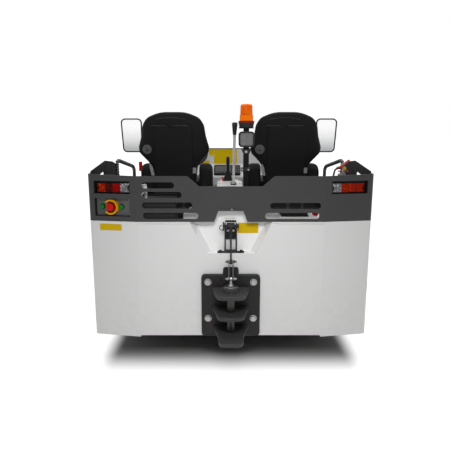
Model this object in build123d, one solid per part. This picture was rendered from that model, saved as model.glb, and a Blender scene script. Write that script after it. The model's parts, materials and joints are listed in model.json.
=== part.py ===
from build123d import *
import os
from math import atan2, cos, degrees, radians, sin

# Four-wheel electric baggage tug with two seats, open deck and a three-jaw tow hitch.
# Millimetres. +X is the driver's right, +Y is forward, +Z is up. The origin lies on the
# ground, under the middle of the overall length. Distances named "d" run forward from the
# flat rear face of the body, so a place "d" has Y = at(d).

# Overall sizes
HALF_WIDTH = 862.0          # outer side skirts
WHEELBASE = 1780.0
REAR_OVERHANG = 720.0       # rear face to rear axle
FRONT_OVERHANG = 540.0      # front axle to the nose's skin
BUMPER_T = 40.0
COUPLING_REACH = 100.0      # bumper to the tip of the front coupling
HITCH_REACH = 294.0         # rear face to the lip of the lowest jaw
SKIRT_Z = 165.0             # lower edge of the side skirts
REAR_LIFT = 10.0            # how much higher the middle of the rear plate ends
DECK_Z = 902.0              # top of the rear body, which carries the seats and the panel
FLOOR_Z = 620.0             # top of the foot floor

# Places that follow from them
REAR_AXLE_D = REAR_OVERHANG
FRONT_AXLE_D = REAR_AXLE_D + WHEELBASE
NOSE_D = FRONT_AXLE_D + FRONT_OVERHANG
BODY_LENGTH = NOSE_D + BUMPER_T + COUPLING_REACH
REAR_Y = HITCH_REACH - (BODY_LENGTH + HITCH_REACH) / 2

# Plates and running clearances
SKIN = 12.0                 # side skirts and front body wall
DECK_T = 10.0               # deck plate
PANEL_T = 6.0               # grey panels and side guards
BALLAST_T = 100.0           # rear ballast plate
SEAT_GAP = 0.3              # clearance between a piece and what it rests on
MOVE_GAP = 5.0              # clearance round a lid

# Plan of the rear end: a flat middle and two swept wings
CREASE_X = 565.0
WING_SWEEP = 50.0
CORNER_R = 25.0

# Wheels and axles
TYRE_R = 360.0
TYRE_W = 210.0
GROOVE = (9.0, 10.0)        # width and depth of the tread's grooves
RIM_R = 190.0
RIM_W = 190.0
TYRE_OUT_X = 800.0          # outer sidewall
ARCH_R = 430.0
REAR_BODY_END = REAR_AXLE_D + ARCH_R        # front of the seat box
KINGPIN_X = 600.0
KINGPIN_R = 18.0
SPINDLE_R = 30.0
BEARING_GAP = 0.05
AXLE_TUBE_R = 65.0
FRAME_X = 500.0             # side plates of the frame, rear and middle
FRAME_Z = (200.0, 600.0)
FRONT_FRAME_X = 330.0       # side plates of the frame between the steered wheels
FRONT_FRAME_Z = 440.0        # lower edge of the front side plates
FRAME_T = 20.0

# Rear panel: height, notch, cut-out and slots
PANEL_TOP_Z = 1177.0
WING_RISE = 8.0             # the wings' upper edges rise towards the corners
NOTCH_Z = 1116.0
NOTCH_HALF = (190.0, 260.0)     # at the notch floor, at the panel's top
CUTOUT_Z = 968.0
CUTOUT_HALF = (75.0, 100.0)     # at the cut-out's top, at the panel's bottom
SLOT_H = 37.0
# columns: height of the slot's middle, its left end, its right end
SLOTS = (
    (1122.0, -530.0, -337.0),
    (1065.0, -530.0, -293.0),
    (1002.0, -530.0, -230.0),
    (939.0, -526.0, -195.0),
    (999.0, 235.0, 538.0),
    (938.0, 205.0, 531.0),
)
LAMP_WINDOW = (36.0, 263.0, 1069.0, 1146.0)     # along the wing from the crease, low z, high z
CONTROL_WINDOW = (40.0, 262.0, 932.0, 1041.0)
TRAY_DEPTH = 42.0
TRAY_T = 3.0

# Pocket in the ballast plate round the release gear
POCKET_D = 60.0
POCKET_Z = 708.0
POCKET_HALF = (152.0, 250.0)    # at the pocket's ledge, at the deck
POCKET_BEVEL = 28.0

# Hitch
HITCH_PLATE_W = 360.0
HITCH_PLATE_Z = (183.0, 578.0)
HITCH_PLATE_T = 30.0
PIN_D = -115.0              # pin axis, behind the rear face
PIN_R = 24.0
PIN_GAP = 0.8
# columns: top z, thickness, half widths at the plate, at the waist and at the tip, reach of the
# waist, reach of the tip, corner radius
JAWS = (
    (501.0, 25.0, 115.0, 97.0, 78.0, 120.0, 205.0, 16.0),
    (378.0, 22.0, 115.0, 89.0, 76.0, 127.0, 224.0, 58.0),
    (251.0, 22.0, 112.0, 77.0, 69.0, 170.0, HITCH_REACH, 40.0),
)
RIB_X = (58.0, 72.0)        # ribs under the lowest jaw
BOSS_R = 47.0
BOSS_TOP_Z = 534.0
EYE_Z = 582.0               # link bolt in the pin's eye
ARM_END_Z = 687.0           # link bolt in the release arm
ARM_PIVOT = (30.0, 871.0)   # d and z of the arm's pivot
ARM_T = 10.0
LINK_X = 12.0               # middle of each link strap
LINK_T = 5.0
BRACKET_HALF = 38.0
FLANGE_Z = POCKET_Z + SEAT_GAP

# Seats
SEAT_X = 378.0
SEAT_D = 500.0              # rear edge of the seat pan
PAN_Z = 985.0
PAN_T = 15.0
PAN_HALF = 235.0
BACK_LEAN = 9.0
SHELL_T = 45.0
SHELL_PANEL = (128.0, 1473.0)           # half width and top z of the raised cover on the shell's rear
PAD_T = 70.0
# columns: half width, height and corner radius of the backrest, from the foot to the crown
BACK_OUTLINE = (
    (162.0, 940.0, 10.0),
    (170.0, 1216.0, 30.0),
    (241.0, 1284.0, 26.0),
    (241.0, 1330.0, 40.0),
    (211.0, 1404.0, 60.0),
    (200.0, 1488.0, 40.0),
    (178.0, 1526.0, 40.0),
    (100.0, 1568.0, 60.0),
)
CUSHION_H = 95.0
RESTRAINT = (160.0, 255.0, 1208.0)      # inner x, outer x, top z
RESTRAINT_D = (560.0, 740.0)

# Console and levers
HOOD_HALF = 290.0
HOOD_Z = 983.0
HOOD_D = (POCKET_D + 2.0, 420.0)
CONSOLE_HALF = 92.0
FUSE_BOX = ((-560.0, -324.0), (22.0, 180.0), 1035.0)        # x, d and top z, left of the hood
DRIVE_BOX = ((324.0, 499.0), (178.0, 300.0), 975.0)         # x, d and top z, right of the hood
CONSOLE_Z = 1050.0
CONSOLE_D = (HOOD_D[1], 1010.0)
LEVER = (27.0, 700.0, 1496.0)           # x, d and top z of the pin release lever
SELECTOR = (-12.0, 905.0, 1241.0)       # x, d and top z of the drive selector

# Post with lamp and beacon
POST = (101.0, 300.0)       # x and d
POST_R = 18.0
POST_TOP_Z = 1452.0
WORK_LAMP = 102.0
WORK_LAMP_Z = 1383.0
BEACON_TOP_Z = 1604.0

# Front body
FIREWALL_D = FRONT_AXLE_D - ARCH_R - 120
DASH_D = FIREWALL_D - 290
NOSE_SWEEP = 150.0
NOSE_CREASE_X = 600.0
NOSE_ROUND = (120.0, 90.0)              # at the creases of the nose, at its outer corners
SHOULDER_R = 40.0
SHOULDER = (740.0, 965.0, 880.0)        # hood half width, z at the hood, z at the fender
# columns: d, z and corner radius of the front body's side outline, from the firewall's foot up
FRONT_PROFILE = (
    (FIREWALL_D, SKIRT_Z, 0.0),
    (FIREWALL_D, FLOOR_Z + 80, 30.0),
    (DASH_D, 925.0, 25.0),
    (DASH_D, 1010.0, 25.0),
    (DASH_D + 140, 1105.0, 0.0),
    (DASH_D + 162, 1112.0, 8.0),
    (DASH_D + 210, 1264.0, 30.0),
    (DASH_D + 260, 1264.0, 30.0),
    (NOSE_D - 65, 1025.0, 60.0),
    (NOSE_D, 930.0, 45.0),
    (NOSE_D, SKIRT_Z, 0.0),
)
LID_HALF = 560.0
LID_D = (FIREWALL_D + 140, NOSE_D - 115)
LID_T = 6.0
LEDGE = 30.0
HINGE_X = 380.0
HINGE_R = 9.0
HINGE_PIN_R = 5.0
FASCIA_Z = (560.0, 905.0)
BUMPER_Z = (190.0, 540.0)
HEADLAMP = (430.0, 735.0, 190.0, 110.0)     # x, z, width, height of the window
VENT_W = 480.0
VENT_PITCH = 36.0
VENT_ROWS = 6
COUPLING_T = 20.0
COUPLING_GAP = 60.0
COUPLING_HOLE_R = 21.0
COUPLING_R = 45.0
COUPLING_Z = 365.0

RAIL_X = 828.0              # rear leg of each handrail

# Mirrors
MIRROR_X = 862.0
MIRROR_Z = 1390.0
MIRROR_W = 188.0
MIRROR_H = 296.0
MIRROR_D = DASH_D - 160
MIRROR_T = 28.0
ARM_R = 9.0

# Steps let into the sills
STEP_X = 690.0
STEP_Z = (340.0, 560.0)     # tread, top of the opening

# Steering
COLUMN_TILT = 38.0
COLUMN_FOOT = (DASH_D + 80, 1040.0)         # d and z where the column leaves the dash
COLUMN_LENGTH = 240.0
STEERING_R = 190.0

os.makedirs("parts", exist_ok=True)


def at(d):
    """Y of a place that lies d forward of the rear face."""
    return REAR_Y + d


def block(x, d, z):
    """Box between two x, two d and two z."""
    size = (x[1] - x[0], d[1] - d[0], z[1] - z[0])
    middle = ((x[0] + x[1]) / 2, at((d[0] + d[1]) / 2), (z[0] + z[1]) / 2)
    return Pos(*middle) * Box(*size)


def polygon(points):
    """Flat face from its corners, in the plane's own two axes."""
    return make_face(Polyline(*points, close=True))


def rounded(sketch, radius):
    """The same face with every corner rounded."""
    return fillet(sketch.vertices(), radius)


def side_prism(points, x):
    """Outline in (d, z), extruded between two x."""
    face = polygon([(at(d), z) for d, z in points])
    return extrude(Plane.YZ.offset(x[0]) * face, amount=x[1] - x[0])


def front_prism(face, d):
    """Face drawn in (x, z), extruded between two d."""
    return extrude(Plane.XZ.offset(-at(d[0])) * face, amount=-(d[1] - d[0]))


def plan_prism(face, z):
    """Face drawn in (x, Y), extruded between two z."""
    return extrude(Plane.XY.offset(z[0]) * face, amount=z[1] - z[0])


def mirrored(points):
    """Right half of an outline, from foot to crown, completed with its left half."""
    return list(points) + [(-x, z) for x, z in reversed(points)]


def pair(solid):
    """A solid and its image on the other side of the middle plane."""
    return solid + mirror(solid, about=Plane.YZ)


def cross_cylinder(radius, x, d, z):
    """Cylinder along X between two x."""
    return Pos((x[0] + x[1]) / 2, at(d), z) * Rot(0, 90, 0) * Cylinder(radius, x[1] - x[0])


def upright_cylinder(radius, x, d, z):
    """Cylinder along Z between two z."""
    return Pos(x, at(d), (z[0] + z[1]) / 2) * Cylinder(radius, z[1] - z[0])


def tube(points, radii, radius):
    """Round bar along straight runs joined by arcs; the points are (x, d, z)."""
    path = FilletPolyline(*[(x, at(d), z) for x, d, z in points], radius=radii)
    start = Plane(origin=path @ 0, z_dir=path % 0)
    return sweep(start * Circle(radius), path=path)


def save(name, shape):
    """Writes one piece."""
    export_step(shape, f"parts/{name}.step")


def rear_plan(inset=0.0, front=REAR_BODY_END):
    """Plan of the rear end up to a given d, drawn in from its outside by an inset."""
    slope = WING_SWEEP / (HALF_WIDTH - CREASE_X)
    shift = inset * (1 + slope ** 2) ** 0.5
    crease = CREASE_X + (inset - shift) / slope
    x = HALF_WIDTH - inset
    end = (x - CREASE_X) * slope + shift
    points = [
        (-x, at(front)),
        (-x, at(end)),
        (-crease, at(inset)),
        (crease, at(inset)),
        (x, at(end)),
        (x, at(front)),
    ]
    face = polygon(points)
    corners = [v for v in face.vertices() if abs(abs(v.X) - x) < 1 and v.Y < at(front) - 1]
    return fillet(corners, max(CORNER_R - inset, 1.0))


def wing_plane(side):
    """Outer face of a wing: local x runs to the right from the crease, local y is up."""
    angle = atan2(WING_SWEEP, HALF_WIDTH - CREASE_X)
    return Plane(
        origin=(side * CREASE_X, at(0), 0),
        x_dir=(cos(angle), side * sin(angle), 0),
        z_dir=(side * sin(angle), -cos(angle), 0),
    )


def on_wing(side, window, depth):
    """Block through a wing behind a window, between two depths inwards."""
    low, high, z0, z1 = window
    sketch = Pos(side * (low + high) / 2, (z0 + z1) / 2) * Rectangle(high - low, z1 - z0)
    plane = wing_plane(side)
    return extrude(plane.offset(-depth[0]) * sketch, amount=-(depth[1] - depth[0]))


def shrunk(window, margin):
    """A window drawn in by a margin on all sides."""
    return (window[0] + margin, window[1] - margin, window[2] + margin, window[3] - margin)


def rear_body():
    """White hull: ballast plate with a pocket, deck, skirts with wheel arches, seat box."""
    outer = plan_prism(rear_plan(), (SKIRT_Z, DECK_Z))
    inner = block(
        (-HALF_WIDTH + SKIN, HALF_WIDTH - SKIN),
        (BALLAST_T, REAR_BODY_END - SKIN),
        (0, DECK_Z - DECK_T),
    )
    body = outer - inner
    body -= block((-CREASE_X, CREASE_X), (-1, BALLAST_T + 1), (0, SKIRT_Z + REAR_LIFT))
    axle_z = TYRE_R
    body -= cross_cylinder(ARCH_R, (-HALF_WIDTH - 1, HALF_WIDTH + 1), REAR_AXLE_D, axle_z)
    body -= block(
        (-HALF_WIDTH - 1, HALF_WIDTH + 1),
        (REAR_AXLE_D - ARCH_R, REAR_AXLE_D + ARCH_R),
        (0, axle_z),
    )
    body -= block(
        (-HALF_WIDTH + SKIN, HALF_WIDTH - SKIN),
        (REAR_BODY_END - SKIN - 1, REAR_BODY_END + 1),
        (0, FLOOR_Z - 10),
    )
    # the inner walls of the wheel houses stand between deck and frame
    house_x = TYRE_OUT_X - TYRE_W - 30
    wall = block((house_x - SKIN, house_x), (BALLAST_T, REAR_BODY_END - SKIN), (600, DECK_Z - DECK_T))
    body += pair(wall)
    return body - pocket() - seam()


def pocket():
    """Space with bevelled sides that is cut into the ballast plate, open at the deck."""
    low, high = POCKET_HALF
    slope = (high - low) / (DECK_Z - POCKET_Z)
    top = DECK_Z + 100
    wide = high + slope * 100

    def trapezoid(draw_in, d):
        points = [
            (-low + draw_in, POCKET_Z),
            (low - draw_in, POCKET_Z),
            (wide - draw_in, top),
            (-wide + draw_in, top),
        ]
        return Plane.XZ.offset(-at(d)) * polygon(points)

    return loft([trapezoid(0, -0.01), trapezoid(POCKET_BEVEL, POCKET_D)], ruled=True)


def seam():
    """Shallow groove between the ballast plate and the deck."""
    groove = block((POCKET_HALF[1] - 15, CREASE_X), (-1, 3), (888, 891))
    return pair(groove)


def rear_panel():
    """Grey panel along the rear and its wings, with slots, windows and cut-outs."""
    strip = rear_plan(0, 120) - rear_plan(PANEL_T, 121)
    ring = plan_prism(strip, (DECK_Z, PANEL_TOP_Z + WING_RISE + 5))
    right = [
        (CUTOUT_HALF[0], CUTOUT_Z),
        (CUTOUT_HALF[1], DECK_Z),
        (HALF_WIDTH + 1, DECK_Z),
        (HALF_WIDTH + 1, PANEL_TOP_Z + WING_RISE),
        (CREASE_X, PANEL_TOP_Z),
        (NOTCH_HALF[1], PANEL_TOP_Z),
        (NOTCH_HALF[0], NOTCH_Z),
    ]
    outline = polygon(right + [(-x, z) for x, z in reversed(right)])
    panel = ring & front_prism(outline, (-1, 130))
    for z, left, end in SLOTS:
        width = end - left
        shape = Pos((left + end) / 2, z) * SlotOverall(width, SLOT_H)
        panel -= front_prism(shape, (-1, PANEL_T + 1))
    for side in (-1, 1):
        panel -= on_wing(side, LAMP_WINDOW, (-2, 20))
    panel -= on_wing(-1, CONTROL_WINDOW, (-2, 20))
    return panel


def side_guards():
    """Black plates beside the seats, each with a window, joined to the panel's ends."""
    start = 120 + SEAT_GAP
    outline = polygon(
        [
            (at(start), DECK_Z),
            (at(start), 1195),
            (at(490), 1236),
            (at(700), 1216),
            (at(860), 1180),
            (at(930), 1080),
            (at(930), DECK_Z),
        ]
    )
    upper_front = [v for v in outline.vertices() if v.X > at(400) and v.Y > 1000]
    outline = fillet(upper_front, 30)
    window = polygon([(at(190), 985), (at(190), 1142), (at(440), 1168), (at(440), 985)])
    window = rounded(window, 18)
    guard = extrude(Plane.YZ.offset(HALF_WIDTH - PANEL_T) * (outline - window), amount=PANEL_T)
    return pair(guard)


def tray(side, window, floor):
    """Open tray behind a window; floor is how deep its bottom lies."""
    outer = on_wing(side, shrunk(window, -TRAY_T), (PANEL_T + SEAT_GAP, floor + TRAY_T))
    return outer - on_wing(side, window, (PANEL_T, floor))


def tail_lamps():
    """Lamp in a tray behind each wing's window, with a notched end on both sides."""
    low, high, z0, z1 = LAMP_WINDOW
    left, right, bottom, top = low + 8, high - 13, z0 + 8, z0 + 61
    notch = 16
    middle = (bottom + top) / 2
    lamps = []
    for side in (-1, 1):
        points = [
            (left, bottom),
            (right, bottom),
            (right - notch, middle),
            (right, top),
            (left, top),
            (left + notch, middle),
        ]
        face = polygon([(side * x, z) for x, z in points])
        lens = extrude(wing_plane(side).offset(-14) * face, amount=-(TRAY_DEPTH - 14))
        lamps.append(tray(side, LAMP_WINDOW, TRAY_DEPTH) + lens)
    return lamps[0] + lamps[1]


def control_box():
    """Tray with a plate that carries the rear inching buttons and the stop button."""
    return tray(-1, CONTROL_WINDOW, 30)


def wing_turned(side, along, z, depth, shape):
    """A shape whose +Z points out of the wing, placed on the wing."""
    return wing_plane(side) * Pos(side * along, z, -depth) * shape


CONTROL_MIDDLE = ((CONTROL_WINDOW[0] + CONTROL_WINDOW[1]) / 2 + 12, 987.0)


def emergency_stop():
    """Mushroom button inside an open collar."""
    base = Pos(0, 0, 6 + SEAT_GAP) * Cylinder(30, 12)
    stem = Pos(0, 0, 22) * Cylinder(11, 24)
    head = Pos(0, 0, 38) * Cylinder(23, 14)
    collar = Pos(0, 0, 16 + SEAT_GAP) * (Cylinder(46, 32) - Cylinder(37, 33))
    gap = Pos(40, 0, 26) * Box(40, 44, 40)
    web = Pos(0, 0, 3 + SEAT_GAP) * Cylinder(40, 6)
    head = fillet(head.edges().group_by(Axis.Z)[-1], 5)
    return wing_turned(-1, *CONTROL_MIDDLE, 30, base + stem + head + (collar - Rot(0, 0, 180) * gap) + web)


def inching_buttons():
    """Two green push buttons, one each side of the stop button."""
    button = Pos(0, 0, 5 + SEAT_GAP) * Cylinder(15, 10) + Pos(0, 0, 14) * Cylinder(12, 8)
    x, z = CONTROL_MIDDLE
    left = wing_turned(-1, x + 64, z, 30, button)
    right = wing_turned(-1, x - 64, z, 30, button)
    return left + right


def console():
    """White hood behind the seats and the narrow console between them."""
    low, high = HOOD_D
    face = polygon(
        [
            (-HOOD_HALF, DECK_Z),
            (HOOD_HALF, DECK_Z),
            (HOOD_HALF, 940),
            (HOOD_HALF - 45, HOOD_Z),
            (-HOOD_HALF + 45, HOOD_Z),
            (-HOOD_HALF, 940),
        ]
    )
    hood = front_prism(face, (low, high))
    hood -= block((-34, 34), (low - 1, low + 12), (DECK_Z + 4, DECK_Z + 13))
    start, end = CONSOLE_D
    outline = polygon(
        [
            (-CONSOLE_HALF, at(start)),
            (CONSOLE_HALF, at(start)),
            (CONSOLE_HALF, at(880)),
            (CONSOLE_HALF - 32, at(end)),
            (-CONSOLE_HALF + 32, at(end)),
            (-CONSOLE_HALF, at(880)),
        ]
    )
    body = plan_prism(outline, (DECK_Z, CONSOLE_Z))
    slot = Pos(LEVER[0], at(LEVER[1]), CONSOLE_Z - 10) * Box(26, 90, 21)
    return hood + body - slot


def deck_boxes():
    """Two black boxes of the electrics, which stand on the deck beside the hood."""
    boxes = []
    for x, d, top in (FUSE_BOX, DRIVE_BOX):
        foot = block((x[0], x[1]), (d[0] - 2, d[1] + 12), (DECK_Z + SEAT_GAP, DECK_Z + 4))
        case = block((x[0] + 6, x[1] - 6), d, (DECK_Z + 3, top))
        case = fillet(case.edges().filter_by(Axis.Z), 8)
        case = fillet(case.edges().group_by(Axis.Z)[-1], 4)
        boxes.append(foot + case)
    (low, high), d, top = FUSE_BOX
    strap = block((high - 2, high + 30), (d[0] + 48, d[0] + 54), (DECK_Z + SEAT_GAP, top + 50))
    return boxes[0] + strap + boxes[1]


def footwell():
    """Foot floor with its sills; each sill has a step let into it."""
    low, high = REAR_BODY_END + SEAT_GAP, FIREWALL_D - SEAT_GAP
    inner_x = HALF_WIDTH - SKIN
    under = FLOOR_Z - SKIN
    floor = block((-HALF_WIDTH, HALF_WIDTH), (low, high), (under, FLOOR_Z))
    sill = block((inner_x, HALF_WIDTH), (low, high), (SKIRT_Z, FLOOR_Z))
    step_d = (low + 110, high - 110)
    step_z, opening_z = STEP_Z
    sill += block(
        (STEP_X - SKIN, HALF_WIDTH), (step_d[0] - SKIN, step_d[1] + SKIN), (step_z - SKIN, FLOOR_Z)
    )
    sill -= block((STEP_X, inner_x), step_d, (step_z, under))
    sill -= block((inner_x - 1, HALF_WIDTH + 1), step_d, (step_z, opening_z))
    return floor + pair(sill)


def front_plan(inset=0.0, nose=NOSE_D, back=DASH_D):
    """Plan of the front end with swept corners."""
    x = HALF_WIDTH - inset
    face = polygon(
        [
            (-x, at(back)),
            (x, at(back)),
            (x, at(nose - inset - NOSE_SWEEP)),
            (NOSE_CREASE_X, at(nose - inset)),
            (-NOSE_CREASE_X, at(nose - inset)),
            (-x, at(nose - inset - NOSE_SWEEP)),
        ]
    )
    ahead = [v for v in face.vertices() if v.Y > at(back) + 1]
    creases = [v for v in ahead if abs(v.X) < x - 1]
    face = fillet(creases, NOSE_ROUND[0])
    outer = [v for v in face.vertices() if abs(v.X) > x - 1 and v.Y > at(back) + 1]
    return fillet(outer, NOSE_ROUND[1])


def front_form(inset):
    """Solid of the front end from its side outline, cross-section and plan, all drawn in by an inset.

    Only the outside, which has no inset, has a rounded side outline.
    """
    hood_x, hood_z, fender_z = SHOULDER
    section = polygon(
        [
            (-HALF_WIDTH + inset, 0),
            (HALF_WIDTH - inset, 0),
            (HALF_WIDTH - inset, fender_z - inset / 2),
            (hood_x - inset, hood_z - inset / 2),
            (hood_x - inset, 1400),
            (-hood_x + inset, 1400),
            (-hood_x + inset, hood_z - inset / 2),
            (-HALF_WIDTH + inset, fender_z - inset / 2),
        ]
    )
    for corner_x, corner_z in ((HALF_WIDTH - inset, fender_z), (hood_x - inset, hood_z)):
        near = [v for v in section.vertices() if abs(abs(v.X) - corner_x) + abs(v.Y - corner_z) < 10]
        section = fillet(near, SHOULDER_R)
    profile = polygon([(at(d), z) for d, z, radius in FRONT_PROFILE])
    if inset:
        profile = offset(profile, amount=-inset)
    else:
        for d, z, radius in FRONT_PROFILE:
            near = [v for v in profile.vertices() if abs(v.X - at(d)) + abs(v.Y - z) < 0.5]
            profile = fillet(near, radius) if radius else profile
    form = extrude(Plane.YZ.offset(-HALF_WIDTH) * profile, amount=2 * HALF_WIDTH)
    form &= front_prism(section, (DASH_D - 1, NOSE_D + 1))
    return form & plan_prism(front_plan(inset), (0, 1400))


def hood_z(d):
    """Height of the hood's top surface at d."""
    (d0, z0, _), (d1, z1, _) = FRONT_PROFILE[7:9]
    return z0 + (z1 - z0) * (d - d0) / (d1 - d0)


def hood_slab(x, d, depth):
    """Slab that follows the hood's slope, between two x and two depths below its top."""
    low, high = depth
    points = [
        (d[0], hood_z(d[0]) - low),
        (d[1], hood_z(d[1]) - low),
        (d[1], hood_z(d[1]) - high),
        (d[0], hood_z(d[0]) - high),
    ]
    return side_prism(points, x)


def front_body():
    """White nose with fenders and wheel arches, dash desk and the lid's ledge."""
    body = front_form(0) - front_form(SKIN)
    body -= block(
        (-HALF_WIDTH + SKIN, HALF_WIDTH - SKIN), (FIREWALL_D - 1, NOSE_D - SKIN), (0, FLOOR_Z - 10)
    )
    axle_d = FRONT_AXLE_D
    arch = (-HALF_WIDTH - 1, HALF_WIDTH + 1)
    body -= cross_cylinder(ARCH_R, arch, axle_d, TYRE_R)
    body -= block(arch, (axle_d - ARCH_R, axle_d + ARCH_R), (0, TYRE_R))
    body -= hood_slab((-LID_HALF, LID_HALF), LID_D, (-5, LID_T + SEAT_GAP))
    opening = (LID_D[0] + LEDGE, LID_D[1] - LEDGE)
    body -= hood_slab((-LID_HALF + LEDGE, LID_HALF - LEDGE), opening, (-5, 40))
    ears = pair(hinge_ears())
    return body + ears


def hinge_axis():
    """d and z of the lid's hinge axis."""
    d = LID_D[0] - 12
    return d, hood_z(d) + HINGE_R + 3


def hinge_ears():
    """Two ears with a pin between them, on the cowl behind the lid."""
    d, z = hinge_axis()
    ears = []
    for x in (HINGE_X - 32, HINGE_X + 22):
        foot = block((x, x + 10), (d - HINGE_R, d + HINGE_R), (hood_z(d + HINGE_R) - 4, z))
        ears.append(foot + cross_cylinder(HINGE_R, (x, x + 10), d, z))
    pin = cross_cylinder(HINGE_PIN_R, (HINGE_X - 30, HINGE_X + 30), d, z)
    return ears[0] + ears[1] + pin


def bonnet():
    """Hinged lid with an inner frame and two hinge straps."""
    x = LID_HALF - MOVE_GAP
    d = (LID_D[0] + MOVE_GAP, LID_D[1] - MOVE_GAP)
    lid = hood_slab((-x, x), d, (0, LID_T))
    frame_x = LID_HALF - LEDGE - 8
    frame_d = (LID_D[0] + LEDGE + 8, LID_D[1] - LEDGE - 8)
    frame = hood_slab((-frame_x, frame_x), frame_d, (LID_T, LID_T + 24))
    frame -= hood_slab(
        (-frame_x + 6, frame_x - 6), (frame_d[0] + 6, frame_d[1] - 6), (LID_T - 1, LID_T + 25)
    )
    axis_d, axis_z = hinge_axis()
    straps = []
    for side in (-1, 1):
        x0 = side * HINGE_X
        half = 20
        knuckle = cross_cylinder(HINGE_R, (x0 - half, x0 + half), axis_d, axis_z)
        leaf = side_prism(
            [
                (axis_d, axis_z + HINGE_R),
                (axis_d, axis_z + HINGE_R - 5),
                (d[0] + 4, hood_z(d[0] + 4) + 0.0),
                (d[0] + 90, hood_z(d[0] + 90)),
                (d[0] + 90, hood_z(d[0] + 90) + 5),
                (d[0] + 8, hood_z(d[0]) + HINGE_R + 5),
            ],
            (x0 - half, x0 + half),
        )
        strap = knuckle + leaf
        strap -= cross_cylinder(HINGE_PIN_R + BEARING_GAP, (x0 - 40, x0 + 40), axis_d, axis_z)
        straps.append(strap)
    return lid + frame + straps[0] + straps[1]


def nose_strip(thickness, z, start):
    """Plate that follows the nose's plan, standing off its face by a gap."""
    outer = front_plan(-start - thickness, NOSE_D) & front_plan_limit()
    inner = front_plan(-start, NOSE_D)
    return plan_prism(outer - inner, z)


def front_plan_limit():
    """Keeps a nose strip forward of the fenders' sides and inside the width."""
    low, high = NOSE_D - NOSE_SWEEP - 20, NOSE_D + 200
    return Pos(0, at((low + high) / 2)) * Rectangle(2 * HALF_WIDTH, high - low)


def front_fascia():
    """Grey band across the nose with two lamp windows and a row of vents between them."""
    band = nose_strip(PANEL_T, FASCIA_Z, SEAT_GAP)
    x, z, width, height = HEADLAMP
    for side in (-1, 1):
        hole = Pos(side * x, z) * RectangleRounded(width, height, 18)
        band -= front_prism(hole, (NOSE_D - 5, NOSE_D + 20))
    for row in range(VENT_ROWS):
        height = z + (row - (VENT_ROWS - 1) / 2) * VENT_PITCH
        vent = Pos(0, height) * SlotOverall(VENT_W, VENT_PITCH / 2)
        band -= front_prism(vent, (NOSE_D - 5, NOSE_D + 20))
    return band


def headlamps():
    """Two headlamps set in the fascia's windows."""
    x, z, width, height = HEADLAMP
    lamp = Pos(x, z) * RectangleRounded(width - 4, height - 4, 16)
    solid = front_prism(lamp, (NOSE_D + SEAT_GAP, NOSE_D + 22))
    solid = fillet(solid.edges().group_by(Axis.Y)[-1], 5)
    return pair(solid)


def front_bumper():
    """Thick black bumper with the two lugs of the front coupling."""
    bumper = nose_strip(BUMPER_T, BUMPER_Z, SEAT_GAP)
    face_d = NOSE_D + BUMPER_T - 1
    centre_d = BODY_LENGTH - COUPLING_R
    half_gap = COUPLING_GAP / 2
    for low in (COUPLING_Z + half_gap, COUPLING_Z - half_gap - COUPLING_T):
        z = (low, low + COUPLING_T)
        if centre_d > face_d:
            bumper += block((-COUPLING_R, COUPLING_R), (face_d, centre_d), z)
        bumper += upright_cylinder(COUPLING_R, 0, centre_d, z)
    hole_z = (COUPLING_Z - half_gap - COUPLING_T - 1, COUPLING_Z + half_gap + COUPLING_T + 1)
    return bumper - upright_cylinder(COUPLING_HOLE_R, 0, centre_d, hole_z)


def dashboard():
    """Display unit on the dash desk."""
    (d0, z0, _), (d1, z1, _) = FRONT_PROFILE[3:5]
    slope = degrees(atan2(z1 - z0, d1 - d0))
    middle_d, middle_z = (d0 + d1) / 2, (z0 + z1) / 2
    unit = Box(250, 130, 22)
    unit = fillet(unit.edges().filter_by(Axis.Z), 12)
    lift = 11 + SEAT_GAP
    place = Pos(-15, at(middle_d), middle_z) * Rot(slope, 0, 0) * Pos(0, 0, lift)
    return place * unit


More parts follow.
